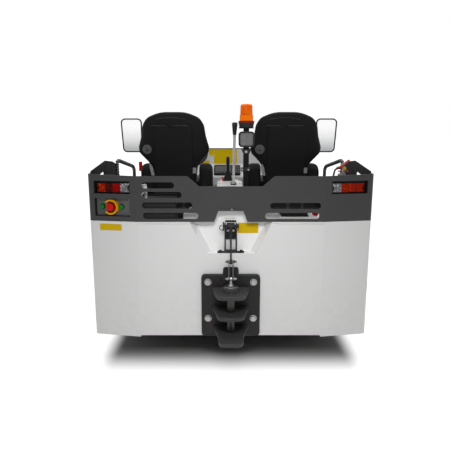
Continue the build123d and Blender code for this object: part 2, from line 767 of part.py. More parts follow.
def seat_pieces():
    """Base, pan, shell, backrest pad, cushion and hip restraints of the right seat."""
    x = SEAT_X
    base = block((x - 175, x + 175), (SEAT_D + 60, 1040), (DECK_Z, DECK_Z + 18))
    base += block((x - 150, x + 150), (SEAT_D + 80, 1010), (DECK_Z + 18, PAN_Z - 0))
    pan = block((x - PAN_HALF, x + PAN_HALF), (SEAT_D, 1060), (PAN_Z, PAN_Z + PAN_T))
    base = base + pan
    top = PAN_Z + PAN_T + SEAT_GAP
    outline = polygon(mirrored([(half, z) for half, z, radius in BACK_OUTLINE]))
    for half, z, radius in BACK_OUTLINE:
        near = [v for v in outline.vertices() if abs(abs(v.X) - half) + abs(v.Y - z) < 0.5]
        outline = fillet(near, radius)
    lean = Pos(x, at(SEAT_D + 60), top) * Rot(BACK_LEAN, 0, 0) * Pos(-x, -at(SEAT_D + 60), -top)

    def leaned(d):
        solid = front_prism(Pos(x, 0) * outline, d)
        edges = solid.edges().filter_by(Plane.XZ)
        return lean * fillet(edges, 14)

    cut = block((x - 400, x + 400), (0, 1500), (0, top))
    shell = leaned((SEAT_D + 60 - SHELL_T, SEAT_D + 60)) - cut
    half, crown = SHELL_PANEL
    rear_d = SEAT_D + 60 - SHELL_T
    cover = Pos(x, (top + crown) / 2) * RectangleRounded(2 * half, crown - top, 24)
    cover = front_prism(cover, (rear_d - 10, rear_d + 2))
    shell += lean * fillet(cover.edges().group_by(Axis.Y)[0], 7) - cut
    front_d = SEAT_D + 60 + SEAT_GAP
    pad = leaned((front_d, front_d + PAD_T)) - block((x - 400, x + 400), (0, 1500), (0, top + CUSHION_H + 6))
    inner, outer, restraint_top = RESTRAINT
    low, high = RESTRAINT_D
    plan = polygon(
        [
            (x - inner + 5, at(low + 100)),
            (x + inner - 5, at(low + 100)),
            (x + inner - 5, at(high + 5)),
            (x + PAN_HALF, at(high + 5)),
            (x + PAN_HALF - 15, at(1075)),
            (x - PAN_HALF + 15, at(1075)),
            (x - PAN_HALF, at(high + 5)),
            (x - inner + 5, at(high + 5)),
        ]
    )
    cushion = plan_prism(plan, (top, top + CUSHION_H))
    cushion = fillet(cushion.edges().group_by(Axis.Z)[-1], 18)
    wing = side_prism(
        [
            (low, top),
            (high, top),
            (high, restraint_top - 60),
            (high - 60, restraint_top),
            (low + 40, restraint_top),
            (low, restraint_top - 40),
        ],
        (x + inner, x + outer),
    )
    wing = fillet(wing.edges().filter_by(Axis.X), 18)
    other = mirror(wing, about=Plane.YZ.offset(x))
    return base, shell, pad, cushion, wing + other


def beacon_post():
    """Square tube that carries the work lamp and the beacon."""
    x, d = POST
    section = Pos(x, at(d)) * RectangleRounded(2 * POST_R, 2 * POST_R, 6)
    post = plan_prism(section, (HOOD_Z, POST_TOP_Z))
    foot = upright_cylinder(POST_R + 22, x, d, (HOOD_Z, HOOD_Z + 8))
    disc = upright_cylinder(48, x, d, (POST_TOP_Z, POST_TOP_Z + 6))
    arm = block((x - 6, x + 6), (d - POST_R - 16, d), (WORK_LAMP_Z - 60, WORK_LAMP_Z - 48))
    return post + foot + disc + arm


def work_lamp():
    """Square lamp in front of the post's rear side, facing the trailer."""
    x, d = POST
    back = d - POST_R - SEAT_GAP
    half = WORK_LAMP / 2
    body = block((x - half, x + half), (back - 48, back), (WORK_LAMP_Z - half + 4, WORK_LAMP_Z + half))
    body = fillet(body.edges().filter_by(Axis.Y), 18)
    return body - block((x - 7, x + 7), (back - 20, back + 1), (WORK_LAMP_Z - 70, WORK_LAMP_Z - 45))


def beacon():
    """Amber beacon: ribbed base ring and a stepped lens."""
    x, d = POST
    z = POST_TOP_Z + 6
    profile = [
        (0, z),
        (46, z),
        (50, z + 30),
        (51, z + 40),
        (42, z + 42),
        (40, z + 78),
        (38.5, z + 80),
        (37, BEACON_TOP_Z - 6),
        (31, BEACON_TOP_Z),
        (0, BEACON_TOP_Z),
    ]
    face = Plane.XZ * polygon(profile)
    return Pos(x, at(d), 0) * revolve(face, Axis.Z)


def mirrors():
    """Mirror heads on bent arms from the cowl's sides."""
    x, z, half_w, half_h = MIRROR_X, MIRROR_Z, MIRROR_W / 2, MIRROR_H / 2
    face = polygon(
        [
            (x - half_w, z - half_h),
            (x + half_w - 14, z - half_h),
            (x + half_w, z + half_h),
            (x - half_w, z + half_h),
        ]
    )
    head = front_prism(rounded(face, MIRROR_W * 0.21), (MIRROR_D, MIRROR_D + MIRROR_T))
    head = fillet(head.edges().group_by(Axis.Y)[-1], MIRROR_T * 0.28)
    foot_x = SHOULDER[0] + SEAT_GAP
    foot_d, foot_z = DASH_D + 220, 1190
    low_z = z - half_h + 20
    arm = tube(
        [
            (foot_x + 6, foot_d, foot_z),
            (foot_x + 60, foot_d - 30, foot_z + 10),
            (x - 20, MIRROR_D + 100, low_z),
            (x - 20, MIRROR_D + MIRROR_T - 6, low_z),
        ],
        [18, 40],
        ARM_R,
    )
    foot = cross_cylinder(26, (foot_x, foot_x + 8), foot_d, foot_z)
    return pair(head + arm + foot)


def handrails():
    """Bent rails beside the seats, from the guard's top down to the deck."""
    rail = tube(
        [
            (RAIL_X, 720, DECK_Z),
            (RAIL_X, 720, 1226),
            (RAIL_X - 74, 985, 1155),
            (RAIL_X - 74, 985, DECK_Z),
        ],
        [30, 50],
        14,
    )
    return pair(rail)


def fire_extinguisher():
    """Upright extinguisher with valve, lever and carrying handle, on a deck bracket."""
    x, d = 733, 300
    bottle_r = 55
    bottle = upright_cylinder(bottle_r, x, d, (DECK_Z, 1120))
    bottle = fillet(bottle.edges().group_by(Axis.Z)[-1], 30)
    neck = upright_cylinder(15, x, d, (1115, 1165))
    valve = block((x - 16, x + 14), (d - 12, d + 12), (1150, 1206))
    handle = block((x - 34, x + 34), (d - 9, d + 9), (1176, 1184))
    lever = side_lever(x, d)
    return bottle + neck + valve + handle + lever


def side_lever(x, d):
    """Squeeze lever that rises from the valve towards the outside."""
    points = [(x - 46, 1205), (x - 38, 1195), (x - 12, 1201), (x + 40, 1249), (x + 34, 1257), (x - 22, 1214)]
    return front_prism(polygon(points), (d - 9, d + 9))


def gear_selector():
    """Drive selector: plate, boot and grip."""
    x, d, top = SELECTOR
    z = CONSOLE_Z + SEAT_GAP
    plate = block((x - 42, x + 42), (d - 50, d + 50), (z, z + 12))
    boot = Pos(x, at(d), z + 12 + 30) * Cone(34, 16, 60)
    grip = upright_cylinder(14, x, d, (z + 60, top))
    grip = fillet(grip.edges().group_by(Axis.Z)[-1], 12)
    return plate + boot + grip


def release_lever():
    """Long pin release lever with a tapered knob, standing in the console's slot."""
    x, d, top = LEVER
    knob_h = 88
    foot_z = CONSOLE_Z - 20 + SEAT_GAP
    rod_h = top - knob_h + 6 - foot_z
    rod = Pos(x, at(d), foot_z + rod_h / 2) * Cone(8.5, 11.5, rod_h)
    knob = Pos(x, at(d), top - knob_h / 2) * Cone(11.5, 21, knob_h)
    knob = fillet(knob.edges().group_by(Axis.Z)[-1], 9)
    lever = rod + knob
    lean = Pos(x, at(d), foot_z) * Rot(3, 1.0, 0) * Pos(-x, -at(d), -foot_z)
    return lean * lever


def column_plane():
    """Plane across the steering column where it leaves the dash desk."""
    d, z = COLUMN_FOOT
    tilt = radians(COLUMN_TILT)
    return Plane(origin=(-SEAT_X, at(d), z), x_dir=(1, 0, 0), z_dir=(0, -sin(tilt), cos(tilt)))


def steering_column():
    """Housing and shaft stub of the steering column."""
    housing = Pos(0, 0, COLUMN_LENGTH / 2 - 10) * Cone(52, 36, COLUMN_LENGTH - 60)
    boss = Pos(0, 0, COLUMN_LENGTH - 38) * Cylinder(22, 12)
    shaft = Pos(0, 0, COLUMN_LENGTH - 20) * Cylinder(10, 32)
    column = column_plane() * (housing + boss + shaft)
    return column - front_form(0)


def steering_wheel():
    """Rim, three spokes and hub."""
    rim = Torus(STEERING_R - 14, 14)
    hub = Pos(0, 0, -8) * Cylinder(36, 30)
    spoke = Pos((STEERING_R - 14) / 2 + 12, 0, -6) * Box(STEERING_R - 38, 34, 10)
    wheel = rim + hub
    for turn in (90, 210, 330):
        wheel += Rot(0, 0, turn) * spoke
    bore = Pos(0, 0, -18) * Cylinder(10 + BEARING_GAP, 30)
    return column_plane() * Pos(0, 0, COLUMN_LENGTH) * (wheel - bore)


def pedals():
    """Accelerator and brake pedal on arms from the firewall."""
    made = []
    wall = FIREWALL_D - SEAT_GAP
    for x, width in ((-SEAT_X - 60, 90), (-SEAT_X + 100, 60)):
        arm = side_prism(
            [
                (wall, FLOOR_Z + 70),
                (wall, FLOOR_Z + 45),
                (wall - 100, FLOOR_Z + 32),
                (wall - 150, FLOOR_Z + 20),
                (wall - 155, FLOOR_Z + 32),
                (wall - 105, FLOOR_Z + 48),
            ],
            (x - 8, x + 8),
        )
        pad = Pos(x, at(wall - 155), FLOOR_Z + 48) * Rot(-50, 0, 0) * Box(width, 110, 8)
        made.append(arm + pad)
    return made[0] + made[1]


def chassis_frame():
    """Side plates, cross plates and the battery tray."""
    low, high = BALLAST_T + SEAT_GAP, NOSE_D - SKIN - SEAT_GAP
    step_d = FIREWALL_D + 110
    bottom, top = FRAME_Z
    wide = block((FRAME_X - FRAME_T, FRAME_X), (low, step_d), FRAME_Z)
    wide -= block(
        (FRAME_X - FRAME_T - 1, FRAME_X + 1),
        (REAR_AXLE_D - 90, REAR_AXLE_D + 90),
        (bottom - 1, TYRE_R + AXLE_TUBE_R + 20),
    )
    narrow_z = (FRONT_FRAME_Z, top + 20)
    narrow = block((FRONT_FRAME_X - FRAME_T, FRONT_FRAME_X), (step_d, high), narrow_z)
    frame = pair(wide + narrow)
    inner = FRAME_X - FRAME_T
    tray_d = REAR_BODY_END - 30
    for d in (low, tray_d):
        frame += block((-inner, inner), (d, d + FRAME_T), FRAME_Z)
    frame += block((-FRAME_X, FRAME_X), (step_d - FRAME_T, step_d), FRAME_Z)
    frame += block((-FRAME_X, FRAME_X), (tray_d, step_d), (bottom - 15, bottom))
    inner = FRONT_FRAME_X - FRAME_T
    frame += block((-inner, inner), (high - FRAME_T, high), narrow_z)
    frame += block((-inner, inner), (step_d, high), (FRONT_FRAME_Z, FRONT_FRAME_Z + FRAME_T))
    return frame


def battery_pack():
    """Traction battery on its tray under the floor."""
    half = FRAME_X - FRAME_T - 10
    bottom, top = FRAME_Z
    return block((-half, half), (REAR_BODY_END, FIREWALL_D + 80), (bottom + SEAT_GAP, top - 10))


def drive_axle():
    """Rear axle housing with gear case, saddles, motor and hub spindles."""
    inner = TYRE_OUT_X - TYRE_W / 2 - 60
    housing = cross_cylinder(AXLE_TUBE_R, (-inner, inner), REAR_AXLE_D, TYRE_R)
    case = Pos(0, at(REAR_AXLE_D), TYRE_R) * Sphere(150)
    case = case & block((-150, 150), (REAR_AXLE_D - 150, REAR_AXLE_D + 150), (190, 560))
    motor = Pos(0, at(REAR_AXLE_D + 230), TYRE_R) * Rot(90, 0, 0) * Cylinder(115, 260)
    spindle = cross_cylinder(SPINDLE_R, (inner, inner + 120), REAR_AXLE_D, TYRE_R)
    saddle = block(
        (FRAME_X - 50, FRAME_X + 30),
        (REAR_AXLE_D - 80, REAR_AXLE_D + 80),
        (TYRE_R, TYRE_R + AXLE_TUBE_R + 20 - SEAT_GAP),
    )
    return housing + case + motor + pair(spindle + saddle)


def front_axle():
    """Steer axle beam with a centre pivot block and a fork for each knuckle."""
    d = FRONT_AXLE_D
    beam = block((-KINGPIN_X + 62, KINGPIN_X - 62), (d - 55, d + 55), (TYRE_R - 50, TYRE_R + 50))
    fork = block(
        (KINGPIN_X - 90, KINGPIN_X - 62), (d - 50, d + 50), (TYRE_R - 88, TYRE_R + 88)
    )
    for low in (-88, 62):
        lug = block(
            (KINGPIN_X - 63, KINGPIN_X), (d - 38, d + 38), (TYRE_R + low, TYRE_R + low + 26)
        )
        end = upright_cylinder(38, KINGPIN_X, d, (TYRE_R + low, TYRE_R + low + 26))
        fork += lug + end
    fork -= upright_cylinder(KINGPIN_R + BEARING_GAP, KINGPIN_X, d, (0, 800))
    saddle = block(
        (FRONT_FRAME_X - 60, FRONT_FRAME_X + 30), (d - 50, d + 50), (TYRE_R - 50, FRONT_FRAME_Z - SEAT_GAP)
    )
    return beam + pair(fork) + pair(saddle)


def knuckle():
    """Right steering knuckle with kingpin and hub spindle."""
    d = FRONT_AXLE_D
    hub = upright_cylinder(36, KINGPIN_X, d, (TYRE_R - 60, TYRE_R + 60))
    kingpin = upright_cylinder(KINGPIN_R, KINGPIN_X, d, (TYRE_R - 92, TYRE_R + 92))
    flange = cross_cylinder(56, (KINGPIN_X + 30, KINGPIN_X + 44), d, TYRE_R)
    neck = cross_cylinder(34, (KINGPIN_X, KINGPIN_X + 40), d, TYRE_R)
    spindle = cross_cylinder(SPINDLE_R, (KINGPIN_X + 40, TYRE_OUT_X - TYRE_W / 2 + 60), d, TYRE_R)
    return hub + kingpin + neck + flange + spindle


def rim():
    """Disc wheel about X with its hub; +X points out of the vehicle."""
    half = RIM_W / 2
    bore = SPINDLE_R + BEARING_GAP
    profile = [
        (-half, RIM_R - 9),
        (-half, RIM_R + 15),
        (-half + 8, RIM_R + 15),
        (-half + 8, RIM_R),
        (half - 8, RIM_R),
        (half - 8, RIM_R + 15),
        (half, RIM_R + 15),
        (half, RIM_R - 9),
        (40, RIM_R - 9),
        (28, 140),
        (28, 95),
        (62, 80),
        (76, 62),
        (76, 0),
        (62, 0),
        (62, bore),
        (-45, bore),
        (-45, 58),
        (14, 66),
        (14, 140),
        (26, RIM_R - 9),
    ]
    wheel = revolve(polygon(profile), Axis.X)
    for turn in range(0, 360, 45):
        a = radians(turn)
        hole = Pos(20, 122 * cos(a), 122 * sin(a)) * Rot(0, 90, 0) * Cylinder(14, 60)
        wheel -= hole
    return wheel


def tread_grooves(reach):
    """Corners of the grooves round the tread, from its right edge to its left one."""
    corners = []
    for middle in (reach * 0.55, 0.0, -reach * 0.55):
        floor = TYRE_R - GROOVE[1]
        wide, narrow = GROOVE[0] / 2, GROOVE[0] / 2 - 1.5
        corners += [(middle + wide, TYRE_R), (middle + narrow, floor)]
        corners += [(middle - narrow, floor), (middle - wide, TYRE_R)]
    return corners


def tyre():
    """Tyre about X with grooved tread, rounded shoulders and beads on the rim."""
    half = TYRE_W / 2
    bead = RIM_R + SEAT_GAP
    tread_half = half - 18
    with_flange = RIM_W / 2 - 8 - SEAT_GAP
    profile = [
        (-with_flange, bead),
        (with_flange, bead),
        (with_flange, bead + 22),
        (half - 4, bead + 45),
        (half, (bead + TYRE_R) / 2 + 5),
        (half - 5, TYRE_R - 32),
        (tread_half, TYRE_R - 6),
        (tread_half - 12, TYRE_R),
        *tread_grooves(tread_half - 12),
        (-tread_half + 12, TYRE_R),
        (-tread_half, TYRE_R - 6),
        (-half + 5, TYRE_R - 32),
        (-half, (bead + TYRE_R) / 2 + 5),
        (-half + 4, bead + 45),
        (-with_flange, bead + 22),
    ]
    solid = revolve(polygon(profile), Axis.X)
    cavity = [
        (-with_flange + 22, bead - 1),
        (with_flange - 22, bead - 1),
        (half - 20, bead + 50),
        (half - 22, TYRE_R - 45),
        (-half + 22, TYRE_R - 45),
        (-half + 20, bead + 50),
    ]
    return solid - revolve(polygon(cavity), Axis.X)


def jaw(top, thickness, root, waist, tip, waist_reach, reach, radius):
    """One jaw of the hitch: it narrows to a waist and ends in a rounded tip."""
    face = polygon(
        [
            (-root, at(-HITCH_PLATE_T)),
            (root, at(-HITCH_PLATE_T)),
            (waist, at(-waist_reach)),
            (tip, at(-reach)),
            (-tip, at(-reach)),
            (-waist, at(-waist_reach)),
        ]
    )
    tips = [v for v in face.vertices() if v.Y < at(-reach) + 1]
    face = fillet(tips, radius)
    bends = [v for v in face.vertices() if abs(v.Y - at(-waist_reach)) < 1]
    return plan_prism(fillet(bends, 60), (top - thickness, top))


def hitch_body():
    """Bolted plate with three jaws, a boss and the guide for the pin's rod."""
    half = HITCH_PLATE_W / 2
    low, high = HITCH_PLATE_Z
    plate = Pos(0, (low + high) / 2) * RectangleRounded(2 * half, high - low, 22)
    body = front_prism(plate, (-HITCH_PLATE_T, -SEAT_GAP))
    for row in JAWS:
        body += jaw(*row)
    boss_z = (JAWS[0][0] - 1, BOSS_TOP_Z)
    body += upright_cylinder(BOSS_R, 0, PIN_D, boss_z)
    guide = Pos(0, (high + 631 - 60) / 2) * RectangleRounded(95, 631 - high + 60, 16)
    body += front_prism(guide, (-HITCH_PLATE_T - 12, -HITCH_PLATE_T + 1))
    under = JAWS[2][0] - JAWS[2][1]
    rib = [(-HITCH_PLATE_T + 1, under + 1), (-HITCH_REACH * 0.62, under + 1), (-HITCH_PLATE_T + 1, low + 8)]
    body += pair(side_prism(rib, RIB_X))
    hole = upright_cylinder(PIN_R + PIN_GAP, 0, PIN_D, (JAWS[1][0] - 100, BOSS_TOP_Z + 1))
    hole += upright_cylinder(PIN_R + PIN_GAP, 0, PIN_D, (JAWS[2][0] - 12, JAWS[1][0]))
    body -= hole
    for x in (-139, 139):
        for z in (301, 534):
            body += front_prism(Pos(x, z) * Circle(22), (-HITCH_PLATE_T - 4, -HITCH_PLATE_T))
            body += front_prism(Pos(x, z) * RegularPolygon(18, 6), (-HITCH_PLATE_T - 18, -HITCH_PLATE_T - 4))
    return body


def hitch_pin():
    """Hitch pin with a dished head and an eye rod on top."""
    bottom = JAWS[2][0] - 12 + SEAT_GAP
    top = BOSS_TOP_Z + SEAT_GAP
    pin = upright_cylinder(PIN_R, 0, PIN_D, (bottom, top + 2))
    pin = pin + Pos(0, at(PIN_D), top + 2) * Cylinder(40, 4)
    cone = Pos(0, at(PIN_D), top + 4 + 8) * Cone(20, 7, 16)
    rod = upright_cylinder(7, 0, PIN_D, (top + 10, EYE_Z))
    eye = cross_cylinder(13, (-7, 7), PIN_D, EYE_Z)
    return pin + cone + rod + eye


def release_links():
    """Two straps joined by a bolt through the arm, with a stub bolt each at the pin's eye."""
    inner = LINK_X - LINK_T / 2
    strap_x = (inner, inner + LINK_T)
    strap = block(strap_x, (PIN_D - 11, PIN_D + 11), (EYE_Z, ARM_END_Z))
    for z in (EYE_Z, ARM_END_Z):
        strap += cross_cylinder(13, strap_x, PIN_D, z)
        strap += cross_cylinder(5, (inner, 34), PIN_D, z)
        strap += cross_cylinder(9, (20, 30), PIN_D, z)
    return pair(strap) + cross_cylinder(5, (-inner - 1, inner + 1), PIN_D, ARM_END_Z)


def release_arm():
    """Arm from the pivot in the pocket to a point over the pin."""
    d, z = ARM_PIVOT
    half = ARM_T / 2
    dy, dz = d - PIN_D, z - ARM_END_Z
    length = (dy ** 2 + dz ** 2) ** 0.5
    ux, uz = dy / length, dz / length
    wide, thin = 17, 13
    half_hub = BRACKET_HALF - 8 - MOVE_GAP
    points = [
        (PIN_D - uz * thin, ARM_END_Z + ux * thin),
        (d - uz * wide, z + ux * wide),
        (d + uz * wide, z - ux * wide),
        (PIN_D + uz * thin, ARM_END_Z - ux * thin),
    ]
    arm = side_prism(points, (-half, half))
    arm += cross_cylinder(wide + 3, (-half_hub, half_hub), d, z)
    arm += cross_cylinder(thin, (-half, half), PIN_D, ARM_END_Z)
    arm -= cross_cylinder(8 + BEARING_GAP, (-30, 30), d, z)
    return arm - cross_cylinder(5 + BEARING_GAP, (-30, 30), PIN_D, ARM_END_Z)


def release_bracket():
    """Fork on a flange that stands on the pocket's ledge and carries the arm."""
    d, z = ARM_PIVOT
    half = BRACKET_HALF
    flange = block((-82, 82), (4, POCKET_D - SEAT_GAP), (FLANGE_Z, FLANGE_Z + 9))
    cheek = side_prism(
        [(8, FLANGE_Z + 8), (POCKET_D - 2, FLANGE_Z + 8), (POCKET_D - 4, z + 14), (14, z + 14), (4, z - 40)],
        (half - 8, half),
    )
    fork = pair(cheek) + block((-half, half), (POCKET_D - 12, POCKET_D - 4), (z - 72, z - 26))
    shaft = cross_cylinder(8, (-half - 10, half + 10), d, z)
    return flange + fork + shaft


def place_wheel(solid, side, d):
    """Puts a wheel piece, modelled about the origin, at its hub."""
    middle = TYRE_OUT_X - TYRE_W / 2
    placed = Pos(middle, at(d), TYRE_R) * solid
    return placed if side > 0 else mirror(placed, about=Plane.YZ)


def build():
    """Writes every piece."""
    seat_base, seat_shell, back_pad, cushion, wings = seat_pieces()
    right_knuckle = knuckle()
    pieces = {
        "chassis_frame": chassis_frame(),
        "rear_body": rear_body(),
        "rear_panel": rear_panel(),
        "side_guards": side_guards(),
        "console": console(),
        "deck_boxes": deck_boxes(),
        "footwell": footwell(),
        "front_body": front_body(),
        "front_fascia": front_fascia(),
        "front_bumper": front_bumper(),
        "headlamps": headlamps(),
        "bonnet": bonnet(),
        "display_unit": dashboard(),
        "tail_lamps": tail_lamps(),
        "control_box": control_box(),
        "emergency_stop": emergency_stop(),
        "inching_buttons": inching_buttons(),
        "seat_bases": pair(seat_base),
        "seat_shells": pair(seat_shell),
        "backrest_pads": pair(back_pad),
        "seat_cushions": pair(cushion),
        "hip_restraints": pair(wings - seat_shell - back_pad),
        "beacon_post": beacon_post(),
        "work_lamp": work_lamp(),
        "beacon": beacon(),
        "mirrors": mirrors(),
        "handrails": handrails(),
        "fire_extinguisher": fire_extinguisher(),
        "gear_selector": gear_selector(),
        "release_lever": release_lever(),
        "steering_column": steering_column(),
        "steering_wheel": steering_wheel(),
        "pedals": pedals(),
        "battery_pack": battery_pack(),
        "drive_axle": drive_axle(),
        "front_axle": front_axle(),
        "knuckle_right": right_knuckle,
        "knuckle_left": mirror(right_knuckle, about=Plane.YZ),
        "hitch_body": hitch_body(),
        "hitch_pin": hitch_pin(),
        "release_links": release_links(),
        "release_arm": release_arm(),
        "release_bracket": release_bracket(),
    }
    for end, d in (("rear", REAR_AXLE_D), ("front", FRONT_AXLE_D)):
        for name, side in (("left", -1), ("right", 1)):
            pieces[f"rim_{end}_{name}"] = place_wheel(rim(), side, d)
            pieces[f"tyre_{end}_{name}"] = place_wheel(tyre(), side, d)
    for name, shape in pieces.items():
        save(name, shape)


build()
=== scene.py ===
"""Looks of the baggage tow tractor: camera, light, finishes and detailed pieces round the CAD frame.

The scene is in metres in the frame's own axes: +X to the driver's right, +Y forward, +Z up. Shapes are
drawn in millimetres as (x, d, z), where d runs forward from the flat rear face.
"""

import json
import math

import bmesh
import bpy
import numpy as np
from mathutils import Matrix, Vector


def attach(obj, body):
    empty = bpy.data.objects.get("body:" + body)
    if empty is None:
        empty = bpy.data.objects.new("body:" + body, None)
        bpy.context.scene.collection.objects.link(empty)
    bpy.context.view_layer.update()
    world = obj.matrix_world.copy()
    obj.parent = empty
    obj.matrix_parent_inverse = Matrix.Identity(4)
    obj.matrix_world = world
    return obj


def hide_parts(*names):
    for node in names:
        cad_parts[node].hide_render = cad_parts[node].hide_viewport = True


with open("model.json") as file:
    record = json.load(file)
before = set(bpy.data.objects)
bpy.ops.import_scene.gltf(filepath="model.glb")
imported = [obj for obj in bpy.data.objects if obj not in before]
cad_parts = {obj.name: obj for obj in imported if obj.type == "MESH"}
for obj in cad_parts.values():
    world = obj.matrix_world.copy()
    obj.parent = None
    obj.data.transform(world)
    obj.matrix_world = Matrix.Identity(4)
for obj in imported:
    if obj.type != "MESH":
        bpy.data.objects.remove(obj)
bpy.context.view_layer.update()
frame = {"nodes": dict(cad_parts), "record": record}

REAR_Y = -1.443  # the flat rear face, in metres
TAU = 2 * math.pi


# Shader building


class Socket:
    """A value in a shader: the usual operators add Math nodes."""

    def __init__(self, graph, link):
        self.graph = graph
        self.link = link

    def math(self, operation, *others):
        """This value and others through one Math node."""
        return self.graph.node("ShaderNodeMath", dict(enumerate((self,) + others)), operation=operation)

    def __add__(self, other):
        return self.math("ADD", other)

    def __sub__(self, other):
        return self.math("SUBTRACT", other)

    def __mul__(self, other):
        return self.math("MULTIPLY", other)

    def __truediv__(self, other):
        return self.math("DIVIDE", other)

    def __rsub__(self, other):
        return self.math("MULTIPLY", -1.0) + other

    __radd__ = __add__
    __rmul__ = __mul__

    def smooth(self, low, high, start=0.0, end=1.0):
        """Smooth step from start at low to end at high."""
        values = {0: self, 1: low, 2: high, 3: start, 4: end}
        return self.graph.node("ShaderNodeMapRange", values, interpolation_type="SMOOTHSTEP")


class Graph:
    """Node tree of one material or world."""

    def __init__(self, name, kind="materials"):
        self.owner = getattr(bpy.data, kind).new(name)
        self.owner.use_nodes = True
        self.tree = self.owner.node_tree
        self.tree.nodes.clear()
        self.shared = {}

    def node(self, kind, inputs=None, out=0, **settings):
        """Adds a node, sets or links its inputs by number or name, and gives one output."""
        made = self.tree.nodes.new(kind)
        for key, value in settings.items():
            setattr(made, key, value)
        for key, value in (inputs or {}).items():
            if isinstance(value, Socket):
                self.tree.links.new(value.link, made.inputs[key])
            else:
                made.inputs[key].default_value = value
        return Socket(self, made.outputs[out]) if made.outputs else None

    def once(self, key, kind, **more):
        """The same node for every use in this tree."""
        if key not in self.shared:
            self.shared[key] = self.node(kind, **more)
        return self.shared[key]

    def position(self):
        """Object coordinates, which here are the frame's."""
        return self.once("object", "ShaderNodeTexCoord", out="Object")

    def axis(self, index):
        """One coordinate, 0 to 2 for X to Z."""
        return self.once(index, "ShaderNodeSeparateXYZ", inputs={0: self.position()}, out=index)

    def ray(self, kind):
        """1 for light paths of a kind, such as Camera or Glossy."""
        return self.node("ShaderNodeLightPath", out=f"Is {kind} Ray")

    def noise(self, scale, detail=3.0, rough=0.5, at=None):
        """Fractal noise, 0 to 1."""
        values = {"Vector": at or self.position(), "Scale": scale, "Detail": detail, "Roughness": rough}
        return self.node("ShaderNodeTexNoise", values)

    def cells(self, scale):
        """Distance to the middle of the nearest cell."""
        return self.node("ShaderNodeTexVoronoi", {"Vector": self.position(), "Scale": scale})

    def mix(self, factor, a, b):
        """Colour b over colour a by a factor."""
        values = {0: factor, 6: rgba(a), 7: rgba(b)}
        return self.node("ShaderNodeMix", values, out=2, data_type="RGBA")

    def rounded(self, radius):
        """Normal as if edges were rounded by a radius."""
        return self.node("ShaderNodeBevel", {"Radius": radius}, samples=4)

    def edge(self, radius):
        """Near 1 on the rim of sharp edges, from the angle between true and rounded normal."""
        true = self.once("true", "ShaderNodeNewGeometry", out="True Normal")
        values = {0: self.rounded(radius), 1: true}
        dot = self.node("ShaderNodeVectorMath", values, out="Value", operation="DOT_PRODUCT")
        return dot.smooth(0.99, 0.85)

    def relief(self, height, strength, distance, radius):
        """Normal from a height, over edges rounded by a radius."""
        values = {"Strength": strength, "Distance": distance, "Height": height}
        return self.node("ShaderNodeBump", values | {"Normal": self.rounded(radius)})

    def finish(self, **inputs):
        """Principled surface and output; underscores in the names stand for spaces."""
        values = {key.replace("_", " "): rgba(v) if "Color" in key else v for key, v in inputs.items()}
        surface = self.node("ShaderNodeBsdfPrincipled", values)
        self.node("ShaderNodeOutputMaterial", {0: surface})
        return self.owner


def rgba(value):
    """A colour with its alpha; sockets pass through, one number is a grey."""
    if isinstance(value, Socket):
        return value
    if isinstance(value, (int, float)):
        value = (value,) * 3
    return tuple(value) + (1.0,)


def lifted(colour, gain, lift=0.0):
    """A colour times a gain, plus a lift."""
    return tuple(c * gain + lift for c in colour)


DUST = (0.30, 0.27, 0.23)
RUST = (0.16, 0.07, 0.035)
BARE_IRON = (0.22, 0.20, 0.19)
BARE_STEEL = (0.35, 0.34, 0.33)
AMBER_CLOUD = (0.95, 0.28, 0.004)
# painted reflection in the mirror glass: grey below, pale above
MIRROR_REFLECTION_DARK = (0.22, 0.225, 0.23)
MIRROR_REFLECTION_LIGHT = (0.93, 0.93, 0.93)


def recess(g):
    """1 inside the recess above the hitch, where the paint gets a paler painted light, 0 elsewhere.

    The recess is 0.41 m wide and 0.1 m deep, and ends at heights of 0.61 and 0.965 m.
    """
    wide = 1 - g.axis(0).math("ABSOLUTE").smooth(0.205, 0.21)
    deep = g.axis(1).smooth(REAR_Y + 0.001, REAR_Y + 0.006) * g.axis(1).smooth(REAR_Y + 0.10, REAR_Y + 0.09)
    return wide * deep * g.axis(2).smooth(0.60, 0.62) * g.axis(2).smooth(0.97, 0.96)


def paint(name, colour, rough=0.32, dust=0.10, radius=0.003, edge_tone=None, clean=None):
    """Sprayed paint: fine orange peel, soft rounded edges with painted highlights in patches, road dust that
    thickens downwards, and a paler painted light in the recess where a tone is given for it.
    """
    g = Graph(name)
    clouds = g.noise(3.5, 4, 0.6)
    low = g.axis(2).smooth(0.75, 0.12)
    dirt = (low * dust + clouds.smooth(0.45, 0.8) * dust * 0.35) * g.noise(26, 5, 0.7).smooth(0.3, 0.75)
    # painted highlight: patches along the edges become a lighter copy of the paint
    edge_highlight = g.edge(radius) * g.noise(70, 2).smooth(0.35, 0.7) * 0.5
    base = g.mix(edge_highlight, colour, edge_tone or lifted(colour, 1.12, 0.01))
    base = g.mix(dirt, base, DUST)
    # painted light: the recess is made paler than the rest of the paint
    if clean:
        base = g.mix(recess(g), base, clean)
    return g.finish(
        Base_Color=base,
        Roughness=g.noise(14, 4) * 0.10 + (rough - 0.05) + dirt * 0.4,
        Coat_Weight=(1 - dirt) * 0.25,
        Normal=g.relief(g.noise(900.0, 2), 0.10, 0.0006, radius),
    )


def powder(name, colour, rough=0.5, scale=650.0, wear=0.35, shine=0.2, radius=0.0015):
    """Textured powder coat, rubbed lighter on its edges; shine is the specular level."""
    g = Graph(name)
    rub = g.edge(radius) * g.noise(60, 4, 0.7).smooth(0.45, 0.75) * wear
    clouds = g.noise(5, 4, 0.6)
    base = g.mix(clouds * 0.35, colour, lifted(colour, 1.35, 0.004))
    return g.finish(
        Base_Color=g.mix(rub, base, BARE_STEEL),
        Roughness=clouds * 0.18 + (rough - 0.09),
        Metallic=rub * 0.6,
        Specular_IOR_Level=shine,
        Normal=g.relief(g.noise(scale, 3, 0.6), 0.35, 0.0008, radius),
    )


